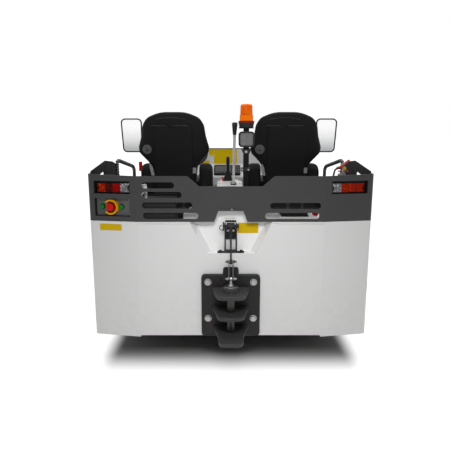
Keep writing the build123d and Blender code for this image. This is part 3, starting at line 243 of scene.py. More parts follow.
def plastic(name, colour, rough=0.5, scale=1100.0, depth=0.18, shine=0.25):
    """Moulded plastic with a fine grain and faint handling marks; shine is the specular level."""
    g = Graph(name)
    marks = g.noise(18, 5, 0.7)
    return g.finish(
        Base_Color=g.mix(marks.smooth(0.55, 0.85) * 0.25, colour, lifted(colour, 1.5, 0.01)),
        Roughness=marks * 0.2 + (rough - 0.1),
        Specular_IOR_Level=shine,
        Normal=g.relief(g.cells(scale), depth, 0.0006, 0.0015),
    )


def prismatic(name, deep, pale, scale):
    """Lamp lens with moulded prisms: each cell goes from its deep rim to a pale middle."""
    g = Graph(name)
    cell = g.cells(scale)
    return g.finish(
        Base_Color=g.mix(cell.smooth(0.55, 0.12) * g.noise(22, 2).smooth(0.3, 0.6), deep, pale),
        Roughness=cell * 0.1 + 0.12,
        Specular_IOR_Level=0.04,
        Normal=g.relief(cell, 0.5, 0.001, 0.001),
    )


def banded(name, bands, rough=0.2):
    """Clear coloured plastic in bands of height, each given as (height where it starts, colour)."""
    g = Graph(name)
    base = bands[0][1]
    for start, colour in bands[1:]:
        base = g.mix(g.axis(2).smooth(start - 0.0015, start + 0.0015), base, colour)
    glow = g.noise(28, 2)
    base = g.mix(glow.smooth(0.4, 0.7) * 0.25, base, AMBER_CLOUD)
    return g.finish(
        Base_Color=base,
        Roughness=glow * 0.1 + rough,
        Specular_IOR_Level=0.06,
        # painted glow: the lens gives off a faint light of its own colour, though the beacon is not lit
        Emission_Color=base,
        Emission_Strength=0.30,
        Normal=g.relief(g.noise(60, 1), 0.2, 0.001, 0.001),
    )


def glass(name, heights):
    """Mirror glass with a painted reflection: greyer towards the lower of two heights."""
    g = Graph(name)
    return g.finish(
        Base_Color=g.mix(g.axis(2).smooth(*heights), MIRROR_REFLECTION_DARK, MIRROR_REFLECTION_LIGHT),
        Metallic=1.0,
        Roughness=g.noise(9, 4, 0.6) * 0.05 + 0.09,
    )


def metal(name, colour, rough, drawn=False, worn=0.25):
    """Machined or plated metal with stains and fine streaks, which run along Z where it is drawn."""
    g = Graph(name)
    at = g.node("ShaderNodeMapping", {0: g.position(), 3: (1, 1, 0.2)}) if drawn else None
    lines = g.noise(140, 3, 0.6, at)
    stain = g.noise(22, 5, 0.7).smooth(0.5, 0.8)
    return g.finish(
        Base_Color=g.mix(stain * worn, colour, lifted(colour, 0.45)),
        Metallic=1.0 - stain * worn * 0.5,
        Roughness=lines * 0.18 + stain * 0.2 + (rough - 0.1),
        Normal=g.relief(lines, 0.10, 0.0004, 0.001),
    )


def iron(name, colour, rust=0.25):
    """Painted cast iron: coarse skin, chipped edges with a little rust."""
    g = Graph(name)
    skin = g.noise(160, 5, 0.65)
    chips = g.edge(0.004) * g.noise(55, 5, 0.75).smooth(0.48, 0.62)
    rusty = g.noise(12, 5, 0.7).smooth(0.58, 0.75) * rust
    base = g.mix(g.noise(9, 4) * 0.4, colour, lifted(colour, 1.6, 0.004))
    base = g.mix(rusty, base, RUST)
    return g.finish(
        Base_Color=g.mix(chips * 0.7, base, BARE_IRON),
        Metallic=chips * 0.7,
        Roughness=skin * 0.25 + rusty * 0.3 + 0.38,
        Specular_IOR_Level=0.19,
        Normal=g.relief(skin, 0.30, 0.0015, 0.004),
    )


AMBER_BANDS = (
    (1.40, (0.90, 0.17, 0.002)),
    (1.5345, (0.34, 0.06, 0.003)),
    (1.5375, (0.78, 0.11, 0.002)),
    (1.592, (0.84, 0.16, 0.002)),
)

# Each finish: its maker, the maker's first value, and the others by name
FINISHES = {
    "frame_grey": (powder, (0.030, 0.031, 0.033), {}),
    # body_white: painted highlights on its edges, and a paler painted light in the recess
    "body_white": (paint, (0.74, 0.74, 0.735), dict(edge_tone=(0.80, 0.80, 0.79), clean=(0.90, 0.90, 0.895))),
    "charcoal": (powder, (0.043, 0.043, 0.044), dict(rough=0.42, wear=0.2)),
    "black_metal": (powder, (0.010, 0.010, 0.010), dict(shine=0.07)),
    "sheet_grey": (powder, (0.022, 0.022, 0.022), dict(shine=0.1)),
    "lamp_clear": (plastic, (0.80, 0.82, 0.85), dict(rough=0.15)),
    "black_plastic": (plastic, (0.011, 0.011, 0.012), {}),
    "lamp_red": (plastic, (0.35, 0.006, 0.005), dict(rough=0.2, shine=0.1)),
    "stop_red": (plastic, (0.58, 0.008, 0.006), dict(rough=0.35, shine=0.12)),
    "button_green": (plastic, (0.002, 0.20, 0.022), dict(rough=0.35, shine=0.12)),
    "seat_leather": (plastic, (0.0085, 0.0085, 0.009), dict(rough=0.55, scale=420, depth=0.35, shine=0.12)),
    "beacon_amber": (banded, AMBER_BANDS, {}),
    "amber_dark": (plastic, (0.30, 0.020, 0.002), dict(rough=0.2, shine=0.06)),
    "webbing": (powder, (0.30, 0.30, 0.30), dict(rough=0.7, scale=260.0, wear=0.0)),
    # lighter grey: the seats' crown piping, and painted highlights along the covers' top edges
    "stitch": (plastic, (0.045, 0.045, 0.046), {}),
    "extinguisher_red": (paint, (0.50, 0.012, 0.010), {}),
    "lever_white": (paint, (0.80, 0.80, 0.79), {}),
    "battery_case": (powder, (0.05, 0.055, 0.06), {}),
    "hitch_iron": (iron, (0.0095, 0.0095, 0.010), {}),
    "jaw_iron": (iron, (0.034, 0.034, 0.034), {}),
    "bright_steel": (metal, (0.55, 0.55, 0.54), dict(rough=0.32)),
    "bolt_zinc": (metal, (0.25, 0.25, 0.245), dict(rough=0.38, worn=0.4)),
    "worn_steel": (metal, (0.22, 0.215, 0.21), dict(rough=0.34, worn=0.5)),
    "strap_steel": (metal, (0.10, 0.10, 0.097), dict(rough=0.4, drawn=True, worn=0.4)),
    "pin_steel": (metal, (0.038, 0.037, 0.035), dict(rough=0.36, drawn=True, worn=0.5)),
    "shell_black": (plastic, (0.0075, 0.0075, 0.008), dict(rough=0.6, scale=520, depth=0.30, shine=0.12)),
    "knob_grey": (plastic, (0.115, 0.115, 0.117), dict(rough=0.55)),
    "knob_dark": (plastic, (0.017, 0.017, 0.019), dict(rough=0.32)),
    "rubber_black": (plastic, (0.014, 0.014, 0.014), dict(rough=0.72, scale=240, depth=0.35, shine=0.3)),
    "rubber_grip": (plastic, (0.024, 0.024, 0.024), dict(rough=0.3, scale=700, depth=0.2, shine=0.8)),
    "lens_grey": (plastic, (0.205, 0.205, 0.205), dict(rough=0.25, scale=90, depth=0.6)),
    "lens_cells": (plastic, (0.215, 0.215, 0.215), dict(rough=0.25, scale=90, depth=0.6)),
    "mirror_glass": (glass, (1.20, 1.50), {}),
    "label_white": (plastic, (0.72, 0.72, 0.70), dict(rough=0.35)),
    "label_dash": (plastic, (0.86, 0.60, 0.002), dict(rough=0.4, shine=0.08)),
    "gauge_yellow": (plastic, (0.80, 0.52, 0.02), dict(rough=0.25)),
    "lcd_grey": (plastic, (0.085, 0.09, 0.08), dict(rough=0.2, scale=700, depth=0.1)),
    "key_grey": (plastic, (0.10, 0.10, 0.10), {}),
    "rim_grey": (powder, (0.40, 0.40, 0.39), dict(rough=0.45)),
    "control_grey": (powder, (0.115, 0.115, 0.117), dict(wear=0.1)),
    "stop_yellow": (plastic, (0.78, 0.36, 0.004), dict(rough=0.4, shine=0.12)),
    "label_yellow": (plastic, (0.70, 0.46, 0.004), dict(rough=0.35, shine=0.08)),
    "lens_clear": (prismatic, (0.18, 0.18, 0.19), dict(pale=(0.80, 0.81, 0.82), scale=70)),
    "lens_red": (prismatic, (0.26, 0.001, 0.001), dict(pale=(0.46, 0.003, 0.002), scale=90)),
    "lens_dark": (prismatic, (0.045, 0.001, 0.001), dict(pale=(0.20, 0.003, 0.001), scale=80)),
    "lens_orange": (prismatic, (0.30, 0.010, 0.001), dict(pale=(0.66, 0.050, 0.002), scale=75)),
    "rim_white": (paint, (0.62, 0.62, 0.60), dict(dust=0.35)),
    "tyre": (plastic, (0.012, 0.012, 0.012), dict(rough=0.7, scale=300, depth=0.4, shine=0.3)),
}

MATERIALS = {name: maker(name, value, **more) for name, (maker, value, more) in FINISHES.items()}

# Nodes that look other than their slot
NODE_FINISHES = {"deck_boxes": "sheet_grey"}


def dress():
    """Gives every CAD node its material."""
    for row in frame["record"]["subparts"]:
        data = frame["nodes"][row["node"]].data
        data.materials.clear()
        data.materials.append(MATERIALS[NODE_FINISHES.get(row["node"], row["material_slot"])])


# Surfaces


class Shape:
    """Faces over points (x, d, z) in millimetres."""

    def __init__(self, points, faces):
        self.points = np.asarray(points, float).reshape(-1, 3)
        self.faces = [tuple(int(i) for i in face) for face in faces]

    def __add__(self, other):
        count = len(self.points)
        shifted = [tuple(i + count for i in face) for face in other.faces]
        return Shape(np.vstack([self.points, other.points]), self.faces + shifted)

    def moved(self, x=0.0, d=0.0, z=0.0):
        """Shifted along the axes."""
        return Shape(self.points + (x, d, z), self.faces)

    def spread(self, places):
        """Copies moved to places, each (x, d, z) or its beginning."""
        return joined([self.moved(*place) for place in places])

    def turned(self, axis, degrees):
        """Turned about X, Y or Z by the right-hand rule."""
        a = math.radians(degrees)
        i, j = {"x": (1, 2), "y": (2, 0), "z": (0, 1)}[axis]
        points = self.points.copy()
        points[:, i] = math.cos(a) * self.points[:, i] - math.sin(a) * self.points[:, j]
        points[:, j] = math.sin(a) * self.points[:, i] + math.cos(a) * self.points[:, j]
        return Shape(points, self.faces)

    def flipped(self):
        """Faces wound the other way."""
        return Shape(self.points, [face[::-1] for face in self.faces])

    def mirrored(self):
        """Image on the other side of the middle plane."""
        return Shape(self.points * (-1, 1, 1), self.faces).flipped()

    def both(self):
        """The shape with its mirror image."""
        return self + self.mirrored()

    def on(self, side):
        """A right-hand shape for the right (1), its mirror image for the left (-1)."""
        return self if side > 0 else self.mirrored()

    def upright(self):
        """Drawn as (x, height, depth): stood up, so that the depth runs forward."""
        return Shape(self.points[:, [0, 2, 1]], self.faces).flipped()

    def sideways(self):
        """Drawn as (d, z, depth): turned so that the depth runs along x."""
        return Shape(self.points[:, [2, 0, 1]], self.faces)


def joined(shapes):
    """All the shapes as one."""
    total = shapes[0]
    for shape in shapes[1:]:
        total = total + shape
    return total


def quads(rows, columns, wrap_rows=False, wrap_columns=False):
    """Corner numbers of the quads of a grid; wrapping joins its last row or column to the first."""
    i = np.arange(rows if wrap_rows else rows - 1)[:, None]
    j = np.arange(columns if wrap_columns else columns - 1)[None, :]
    i2, j2 = (i + 1) % rows, (j + 1) % columns
    corner_numbers = [i * columns + j, i * columns + j2, i2 * columns + j2, i2 * columns + j]
    return np.stack(np.broadcast_arrays(*corner_numbers), -1).reshape(-1, 4)


def lofted(loops):
    """Skin through closed loops, anticlockwise seen from the last one, with both ends shut."""
    loops = np.asarray(loops, float)
    rows, columns = loops.shape[:2]
    faces = [tuple(face) for face in quads(rows, columns, wrap_columns=True)]
    faces.append(tuple(range(columns))[::-1])
    faces.append(tuple((rows - 1) * columns + np.arange(columns)))
    return Shape(loops, faces)


def level(outline, z):
    """Flat loop over an outline at a height."""
    return np.column_stack([outline, np.full(len(outline), z)])


def arc(low, high, count, endpoint=True):
    """Points (cos t, sin t) with t in radians between two angles."""
    t = np.linspace(low, high, count, endpoint=endpoint)
    return np.column_stack([np.cos(t), np.sin(t)])


def circle(count):
    """Points (cos t, sin t) all round."""
    return arc(0, TAU, count, endpoint=False)


def lathe(profile, segments=48, closed=False):
    """Profile rows (radius, height) turned about Z: x = r cos t, y = r sin t.

    A closed profile returns to its first row, which makes a ring.
    """
    loops = np.array([level(radius * circle(segments), height) for radius, height in profile])
    if closed:
        return Shape(loops, quads(len(profile), segments, True, True))
    return lofted(loops)


def corners(points, radius, steps=5):
    """Closed outline (n, 2) with its corners cut by arcs; radius is one number or one per corner."""
    points = np.asarray(points, float)
    radius = np.broadcast_to(np.asarray(radius, float), (len(points),))
    out = []
    for k, here in enumerate(points):
        to_last, to_next = points[k - 1] - here, points[(k + 1) % len(points)] - here
        a, b = np.linalg.norm(to_last), np.linalg.norm(to_next)
        u, v = to_last / a, to_next / b
        half = math.acos(max(-1.0, min(1.0, float(u @ v)))) / 2
        if half > math.pi / 2 - 0.01:
            out.append(here[None])
            continue
        reach = min(radius[k] / math.tan(half), 0.49 * a, 0.49 * b)
        r = reach * math.tan(half)
        centre = here + (u + v) / np.linalg.norm(u + v) * (r / math.sin(half))
        start, end = here + u * reach - centre, here + v * reach - centre
        angle = math.atan2(start[0] * end[1] - start[1] * end[0], float(start @ end))
        s = np.linspace(0, angle, steps + 1)[:, None]
        cross = np.array([-start[1], start[0]])
        out.append(centre + start * np.cos(s) + cross * np.sin(s))
    return np.vstack(out)


def symmetric(right, radii, steps=5):
    """Outline from its right half, with the left half as its mirror image; the radii are the right half's."""
    left = [(-x, y) for x, y in right[::-1]]
    return corners(left + list(right), list(radii[::-1]) + list(radii), steps)


def rectangle(width, height, radius, x=0.0, y=0.0, steps=5):
    """Rounded rectangle about a point."""
    a, b = width / 2, height / 2
    return corners([(x - a, y - b), (x + a, y - b), (x + a, y + b), (x - a, y + b)], radius, steps)


def inset(outline, amount):
    """Outline moved inwards along its points' normals."""
    ahead, behind = np.roll(outline, -1, 0), np.roll(outline, 1, 0)
    u, v = outline - behind, ahead - outline
    u /= np.linalg.norm(u, axis=1)[:, None]
    v /= np.linalg.norm(v, axis=1)[:, None]
    normal = np.stack([-(u + v)[:, 1], (u + v)[:, 0]], 1)
    normal /= np.linalg.norm(normal, axis=1)[:, None]
    across = (normal * np.stack([-u[:, 1], u[:, 0]], 1)).sum(1)
    return outline + normal * (amount / np.maximum(0.3, across))[:, None]


def quarter(edge, steps):
    """Rows (from the wall, below the top) round a rim of radius edge, from the wall up to the top."""
    return [(edge * (1 - c), edge * (1 - s)) for c, s in arc(0, math.pi / 2, steps + 1)]


def plate(outline, low, high, edge=1.0, steps=3, lower_edge=None):
    """Slab over an anticlockwise outline, with a rounded upper and lower rim."""
    under = quarter(edge if lower_edge is None else lower_edge, steps)
    rims = [(draw_in, low + up) for draw_in, up in under[::-1]]
    rims += [(draw_in, high - down) for draw_in, down in quarter(edge, steps)]
    return lofted([level(inset(outline, draw_in), z) for draw_in, z in rims])


def hoop(outline, width, low, high, edge, steps=3):
    """Wall of a width inside an anticlockwise outline between two heights, its upper rims rounded."""
    rim = [(draw_in, high - down) for draw_in, down in quarter(edge, steps)]
    rims = [(0, low)] + rim + [(width - draw_in, z) for draw_in, z in rim[::-1]] + [(width, low)]
    loops = np.array([level(inset(outline, draw_in), z) for draw_in, z in rims])
    return Shape(loops, quads(len(loops), len(outline), True, True))


def pillow(outline, centre, rows):
    """Rings (scale about a centre, height) over a star-shaped outline, closed at both ends."""
    centre = np.asarray(centre, float)
    return lofted([level(centre + scale * (outline - centre), height) for scale, height in rows])


def dome(depth, rim, steps=6, spans=8):
    """Rows for a pillow: flat underside at 0, round rim and a gently crowned top at the depth."""
    under, over, crown = 0.35, 0.55, 0.1
    bow = arc(0, math.pi / 2, steps)
    rows = [(1 - rim * (1 - s), depth * under * (1 - c)) for c, s in bow]
    rows += [(1 - rim * (1 - c), depth * (under + over * s)) for c, s in bow]
    for s in np.linspace(0.1, 0.97, spans):
        rows.append(((1 - rim) * (1 - s), depth * (under + over + crown * math.sin(s * math.pi / 2))))
    return rows


def fine(outline, spacing):
    """Closed outline with points at most a spacing apart."""
    out = []
    for here, ahead in zip(outline, np.roll(outline, -1, 0)):
        count = max(1, math.ceil(np.linalg.norm(ahead - here) / spacing))
        out.append(here + np.linspace(0, 1, count, endpoint=False)[:, None] * (ahead - here))
    return np.vstack(out)


def bend(points, radius, steps=6):
    """Open path through points with its inner corners rounded by arcs of about the radius."""
    points = np.asarray(points, float)
    radius = np.broadcast_to(np.asarray(radius, float), (len(points) - 2,))
    out = [points[:1]]
    for k in range(1, len(points) - 1):
        u, v = points[k - 1] - points[k], points[k + 1] - points[k]
        a, b = np.linalg.norm(u), np.linalg.norm(v)
        half = math.acos(max(-1.0, min(1.0, float(u @ v) / a / b))) / 2
        reach = min(radius[k - 1] / math.tan(half), 0.48 * a, 0.48 * b)
        s = np.linspace(0, 1, steps + 1)[:, None]
        p, q = points[k] + u / a * reach, points[k] + v / b * reach
        out.append((1 - s) ** 2 * p + 2 * s * (1 - s) * points[k] + s ** 2 * q)
    return np.vstack(out + [points[-1:]])


def pipe(path, radius, segments=16):
    """Tube along a path; the radius may differ at each point. Its frame is carried along without twist."""
    path = np.asarray(path, float)
    radius = np.broadcast_to(np.asarray(radius, float), (len(path),))
    way = np.gradient(path, axis=0)
    way /= np.linalg.norm(way, axis=1)[:, None]
    side = np.cross(way[0], (0, 0, 1) if abs(way[0][2]) < 0.9 else (1, 0, 0))
    ring = circle(segments)
    loops = []
    for here, ahead, r in zip(path, way, radius):
        side = side - ahead * (side @ ahead)
        side /= np.linalg.norm(side)
        up = np.cross(ahead, side)
        loops.append(here + r * (ring[:, :1] * side + ring[:, 1:] * up))
    return lofted(loops)


def brick(x, d, z, edge=1.0, corner=None):
    """Box between two x, two d and two z with rounded edges."""
    corner = edge if corner is None else corner
    outline = rectangle(x[1] - x[0], d[1] - d[0], corner, sum(x) / 2, sum(d) / 2, 3)
    return plate(outline, *z, edge)


def slab(width, height, radius, x, y, low, high, edge=0.2):
    """Rounded plate about (x, y) between two heights."""
    return plate(rectangle(width, height, radius, x, y), low, high, edge)


def rod(radius, x, d, z, edge=0.8, segments=28):
    """Round bar; exactly one of x, d and z is a pair, which is the span along its length."""
    low, high = [v for v in (x, d, z) if isinstance(v, tuple)][0]
    rows = [(radius - edge, low), (radius, low + edge), (radius, high - edge), (radius - edge, high)]
    bar = lathe(rows, segments)
    if isinstance(z, tuple):
        return bar.moved(x, d, 0)
    if isinstance(x, tuple):
        return bar.turned("y", 90).moved(0, d, z)
    return bar.turned("x", -90).moved(x, 0, z)


def bolt(radius, height, washer):
    """Hexagon head on a washer, standing on z = 0."""
    ring = lathe([(washer - 0.6, 0), (washer, 0.6), (washer, 1.8), (washer - 0.8, 2.4)], 32)
    return ring + plate(corners(circle(6) * radius, radius * 0.08, 2), 1.6, height, radius * 0.10)


def facing_rear(shape, d=0.0):
    """Drawn as (x, height, out): set on a face that looks backwards at d."""
    return Shape(shape.points[:, [0, 2, 1]] * (1, -1, 1) + (0, d, 0), shape.faces)


def facing_front(shape, d=0.0):
    """Drawn as (x, height, out): set on a face that looks forward at d."""
    return Shape(shape.points[:, [0, 2, 1]] + (0, d, 0), shape.faces)


# Nodes that a piece already stands in for
stood_for = set()


def piece(name, shape, material, body="tractor", node=None, angle=35, subdivide=0):
    """Mesh object from a shape in millimetres, riding on a CAD body.

    The first piece that names a node stands in for it. Edges sharper than the angle stay sharp.
    """
    points = shape.points * 0.001
    points[:, 1] += REAR_Y
    data = bpy.data.meshes.new(name)
    data.from_pydata(points.tolist(), [], shape.faces)
    shell = bmesh.new()
    shell.from_mesh(data)
    bmesh.ops.recalc_face_normals(shell, faces=shell.faces)
    shell.to_mesh(data)
    shell.free()
    data.shade_smooth()
    data.materials.append(MATERIALS[material])
    made = bpy.data.objects.new(name, data)
    bpy.context.collection.objects.link(made)
    if subdivide:
        smoother = made.modifiers.new("subdivision", "SUBSURF")
        smoother.levels = smoother.render_levels = subdivide
    if angle < 180:
        data.set_sharp_from_angle(angle=math.radians(angle))
        made.modifiers.new("flat faces stay flat", "WEIGHTED_NORMAL").keep_sharp = True
    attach(made, body)
    if node and node not in stood_for:
        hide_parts(node)
        stood_for.add(node)
    return made


# Places on the tractor, in millimetres, as in the part's source

SIDES = ((-1, "left"), (1, "right"))
CREASE_X = 565.0  # where the rear face turns into the wings
WING_TURN = math.atan2(50.0, 297.0)
LAMP_WINDOW = ((36.0, 263.0), (1069.0, 1146.0))  # along the wing from the crease, and in height
SEAT_X = 378.0
SEAT_FOOT = (0.0, 560.0, 1000.3)
SEAT_LEAN = 9.0  # degrees
PIN_D = -115.0
STRAP_BOLTS = (582, 687)  # heights
ARM_PIVOT = (30, 871)  # (d, z)
POST = (101.0, 300.0)  # (x, d)
WORK_LAMP_Z = 1385
BEACON_FOOT = 1458.0
EXTINGUISHER = (733.0, 300.0)  # (x, d)
DECK_Z = 902
CONSOLE_Z = 1055  # top of the console's lid
FOOT_WALL = 1949.7
COLUMN_FOOT = (-SEAT_X, 1740, 1040)
COLUMN_TILT = 38.0  # degrees
AXLES = (("rear", 720.0), ("front", 2500.0))
HUB_X, HUB_Z = 695, 360
NOSE_D = 3040


def on_wing(shape, side=-1):
    """Drawn as (along, height, out) from the crease: set on the left (-1) or right (1) wing."""
    along, height, out = shape.points.T
    c, s = math.cos(WING_TURN), math.sin(WING_TURN)
    x = side * CREASE_X + along * c + out * side * s
    return Shape(np.column_stack([x, side * along * s - out * c, height]), shape.faces)


def tilted(shape, about, back, side=0.0):
    """Turned about a point: side degrees about Y, then back degrees about X."""
    x, d, z = about
    return shape.moved(-x, -d, -z).turned("y", side).turned("x", back).moved(x, d, z)


# Hitch

# Each jaw: top, thickness, half widths at root, waist and tip, reach of waist and tip, radius of its corners
JAWS = (
    (501, 25, 115, 97, 78, 120, 205, 52),
    (378, 22, 115, 89, 76, 127, 224, 58),
    (251, 22, 112, 77, 69, 170, 294, 40),
)


def hitch():
    """Bolted plate with ribs, three jaws with fillets at their roots, and the collar round the pin."""
    plate_front, root_d = 30, -27
    rib = corners([(-182, 230), (root_d - 1, 230), (root_d - 1, 190)], [6, 1, 4])
    back = facing_rear(plate(rectangle(360, 395, 22, 0, 380.5), 0.3, plate_front, 4.5, lower_edge=0.3))
    back += facing_rear(slab(95, 113, 16, 0, 574.5, plate_front - 2, 42, 3.5))
    back += plate(rib, 58, 72, 3).sideways().both()
    piece("hitch_plate", back, "hitch_iron", node="hitch_body")
    body = []
    for top, thick, root, waist, tip, waist_reach, reach, radius in JAWS:
        right = [(tip, -reach), (waist, -waist_reach), (root, root_d)]
        body.append(plate(symmetric(right, [radius, 60, 3], 8), top - thick, top, 4.0))
        for end in (4 - root, root - 4):
            body.append(pipe([(end, -31.5, top), (-end, -31.5, top)], 3.2, 10))
    collar = [(25, 499), (47, 499), (47, 530), (44, 533.6), (27, 533.6), (25, 531)]
    body.append(lathe(collar, 56, closed=True).moved(0, PIN_D))
    piece("hitch_jaws", joined(body), "jaw_iron")
    places = [(x, 0, z) for x in (-139, 139) for z in (301, 534)]
    piece("hitch_bolts", facing_rear(bolt(18, 16, 22), -plate_front).spread(places), "bolt_zinc")


def hitch_pin():
    """Pin with its flange and eye, and the two straps that hold it."""
    low, high = STRAP_BOLTS
    shaft = lathe([(19, 239.4), (23.5, 243.5), (24, 245), (24, 533), (23, 534)], 48)
    head = lathe([
        (20, 534.4), (38.5, 534.4), (40, 536), (40, 538.6), (38.4, 539.6), (34, 538.2), (24, 538),
        (17, 540.5), (12, 546), (8.6, 554), (7.2, 564), (7, 574), (7, 583),
    ])
    eye = lathe([(5.6, -7), (12, -7), (13, -6), (13, 6), (12, 7), (5.6, 7)], 32, closed=True)
    head += eye.turned("y", 90).moved(0, 0, low)
    piece("hitch_pin_shaft", shaft.moved(0, PIN_D), "pin_steel", "hitch_pin")
    piece("hitch_pin_head", head.moved(0, PIN_D), "worn_steel", "hitch_pin", "hitch_pin")
    strap = corners([(-11, low - 6), (11, low - 6), (11, high + 6), (-11, high + 6)], 10.5, 6)
    straps = plate(strap, 9.5, 14.5, 0.8).sideways().both()
    nut = bolt(10.5, 7.5, 9.5).turned("y", 90).moved(15, 0, 0) + rod(5, (14, 33.5), 0, 0, 0.6, 20)
    low_pins = nut.moved(0, 0, low).both()
    high_pins = nut.moved(0, 0, high).both() + rod(5, (-15, 15), 0, high, 0.3, 20)
    piece("release_straps", straps.moved(0, PIN_D), "strap_steel", "release_links", "release_links")
    piece("release_bolts", low_pins.moved(0, PIN_D), "worn_steel", "release_links")
    piece("release_bolts_above", high_pins.moved(0, PIN_D), "pin_steel", "release_links")


def release_gear():
    """Arm that lifts the pin, and its fork with foot, cross plate, shaft, coils and hook."""
    pivot_d, pivot_z = ARM_PIVOT
    end_z = STRAP_BOLTS[1]
    run, rise = pivot_d - PIN_D, pivot_z - end_z
    reach, slope = math.hypot(run, rise), math.atan2(rise, run)
    ends = [(-14, -13), (reach + 14, -13), (reach + 20, 0), (reach + 14, 17), (-14, 13), (-17, 0)]
    turn = np.array([[math.cos(slope), math.sin(slope)], [-math.sin(slope), math.cos(slope)]])
    arm = plate(corners(ends, 9, 5) @ turn + (PIN_D, end_z), -5, 5, 1.6).sideways()
    hub = lathe([(9, -24.8), (19, -24.8), (20, -23.5), (20, 23.5), (19, 24.8), (9, 24.8)], 40, closed=True)
    boss = lathe([(5.4, -9), (12, -9), (12.6, -8.4), (12.6, 8.4), (12, 9), (5.4, 9)], 32, closed=True)
    arm += hub.turned("y", 90).moved(0, *ARM_PIVOT) + boss.turned("y", 90).moved(0, PIN_D, end_z)
    piece("release_arm_bar", arm, "hitch_iron", "release_arm", "release_arm")

    side = [(8, 712), (58, 712), (56, 872), (46, 889), (20, 889), (12, 872), (4, 831)]
    foot = [(82, 4), (82, 30), (40, 30), (40, 59)]
    coil = lathe([(23 + 2.2 * c, 2.2 * s) for c, s in circle(10)], 32, closed=True).turned("y", 90)
    hook = [
        (-46, 30, 848), (-47, 18, 846), (-50, 4, 850), (-62, 0, 853), (-69, 0, 866), (-62, 0, 880),
        (-54, 0, 878),
    ]
    foot_top = 717.3
    parts = [
        plate(corners(side, [2, 2, 10, 14, 14, 10, 6]), 30, 38, 1.5).sideways().both(),
        plate(symmetric(foot, [6, 6, 4, 1]), foot_top - 9, foot_top, 2),
        brick((-37, 37), (46, 58), (786, 852), 2.5),
        rod(8, (-47, 47), *ARM_PIVOT, 1),
        rod(13, (38.5, 50), *ARM_PIVOT, 2.5),
        coil.spread([(x, *ARM_PIVOT) for x in (-46.4, -42)]),
        pipe(bend(hook, 12), 2.6, 12),
    ]
    piece("release_fork", joined(parts), "hitch_iron", node="release_bracket")
    piece("release_foot_bolts", bolt(9, 7, 10).spread([(x, 17, foot_top) for x in (-64, 64)]), "hitch_iron")
    heads = facing_rear(bolt(8.5, 7, 9.5), 46).spread([(x, 0, 841) for x in (-17, 17)])
    piece("release_fork_bolts", heads, "bolt_zinc")


# Tail lamps and control box


def tray(back, walls_x, walls_z, across, heights, depth):
    """Open box on a wing: its back, and four walls 3 mm thick whose middles are given."""
    walls = [brick((x - 1.5, x + 1.5), heights, depth, 0.8) for x in walls_x]
    walls += [brick(across, (z - 1.5, z + 1.5), depth, 0.8) for z in walls_z]
    return joined([back] + walls)


def lens_outline(low, high, bottom, top, notch_low, notch_high, shift=0.4):
    """Strip of a lamp between two places along it, with a notch at either end."""
    middle = (bottom + top) / 2
    points = [(low + shift, bottom), (high - shift, bottom)]
    if notch_high:
        points.append((high - notch_high, middle))
    points += [(high - shift, top), (low + shift, top)]
    if notch_low:
        points.append((low + notch_low, middle))
    return fine(corners(points, 1.6, 3), 5.0)


# Each lens: its name, where it starts and ends along the lamp, its front, and its finish left and right
LENSES = (
    ("clear", 0.0, 0.275, -14, ("lens_clear", "lens_clear")),
    ("stop", 0.275, 0.52, -14, ("lens_red", "lens_orange")),
    ("tail", 0.52, 0.73, -14.6, ("lens_dark", "lens_orange")),
    ("turn", 0.73, 1.0, -14, ("lens_orange", "lens_orange")),
)


def tail_lamps():
    """Trays with segmented lenses, clear at the inner end and chevron-notched at both ends."""
    bottom, top, inner, outer, notch = 1077.0, 1130.0, 44.0, 250.0, 16
    (x0, x1), (z0, z1) = LAMP_WINDOW
    middle, half = (x0 + x1) / 2, (x1 - x0) / 2
    heights, depth = (z0 - 3, z1 + 3), (-44, -6.4)
    for side, name in SIDES:
        low, high = side * middle - half, side * middle + half
        back = brick((low, high), heights, (-45, -42), 1, 4)
        box = tray(back, (low, high), (z0 - 1.5, z1 + 1.5), (low - 1, high + 1), heights, depth)
        bezel = sorted((side * (inner - 4), side * (outer + 3)))
        box += brick(bezel, (bottom - 3, top + 3), (-41, -24), 1.5, 3)
        piece(f"tail_lamp_tray_{name}", on_wing(box, side), "black_plastic", node="tail_lamps")
        for label, start, end, front, finishes in LENSES:
            low, high = inner + start * (outer - inner), inner + end * (outer - inner)
            outline = lens_outline(low, high, bottom, top, notch * (start == 0), notch * (end == 1))
            if side < 0:
                outline = (outline * (-1, 1))[::-1]
            lens = plate(outline, -26, front, 2.0, 4, lower_edge=0.2)
            piece(f"tail_lens_{label}_{name}", on_wing(lens, side), finishes[side > 0])


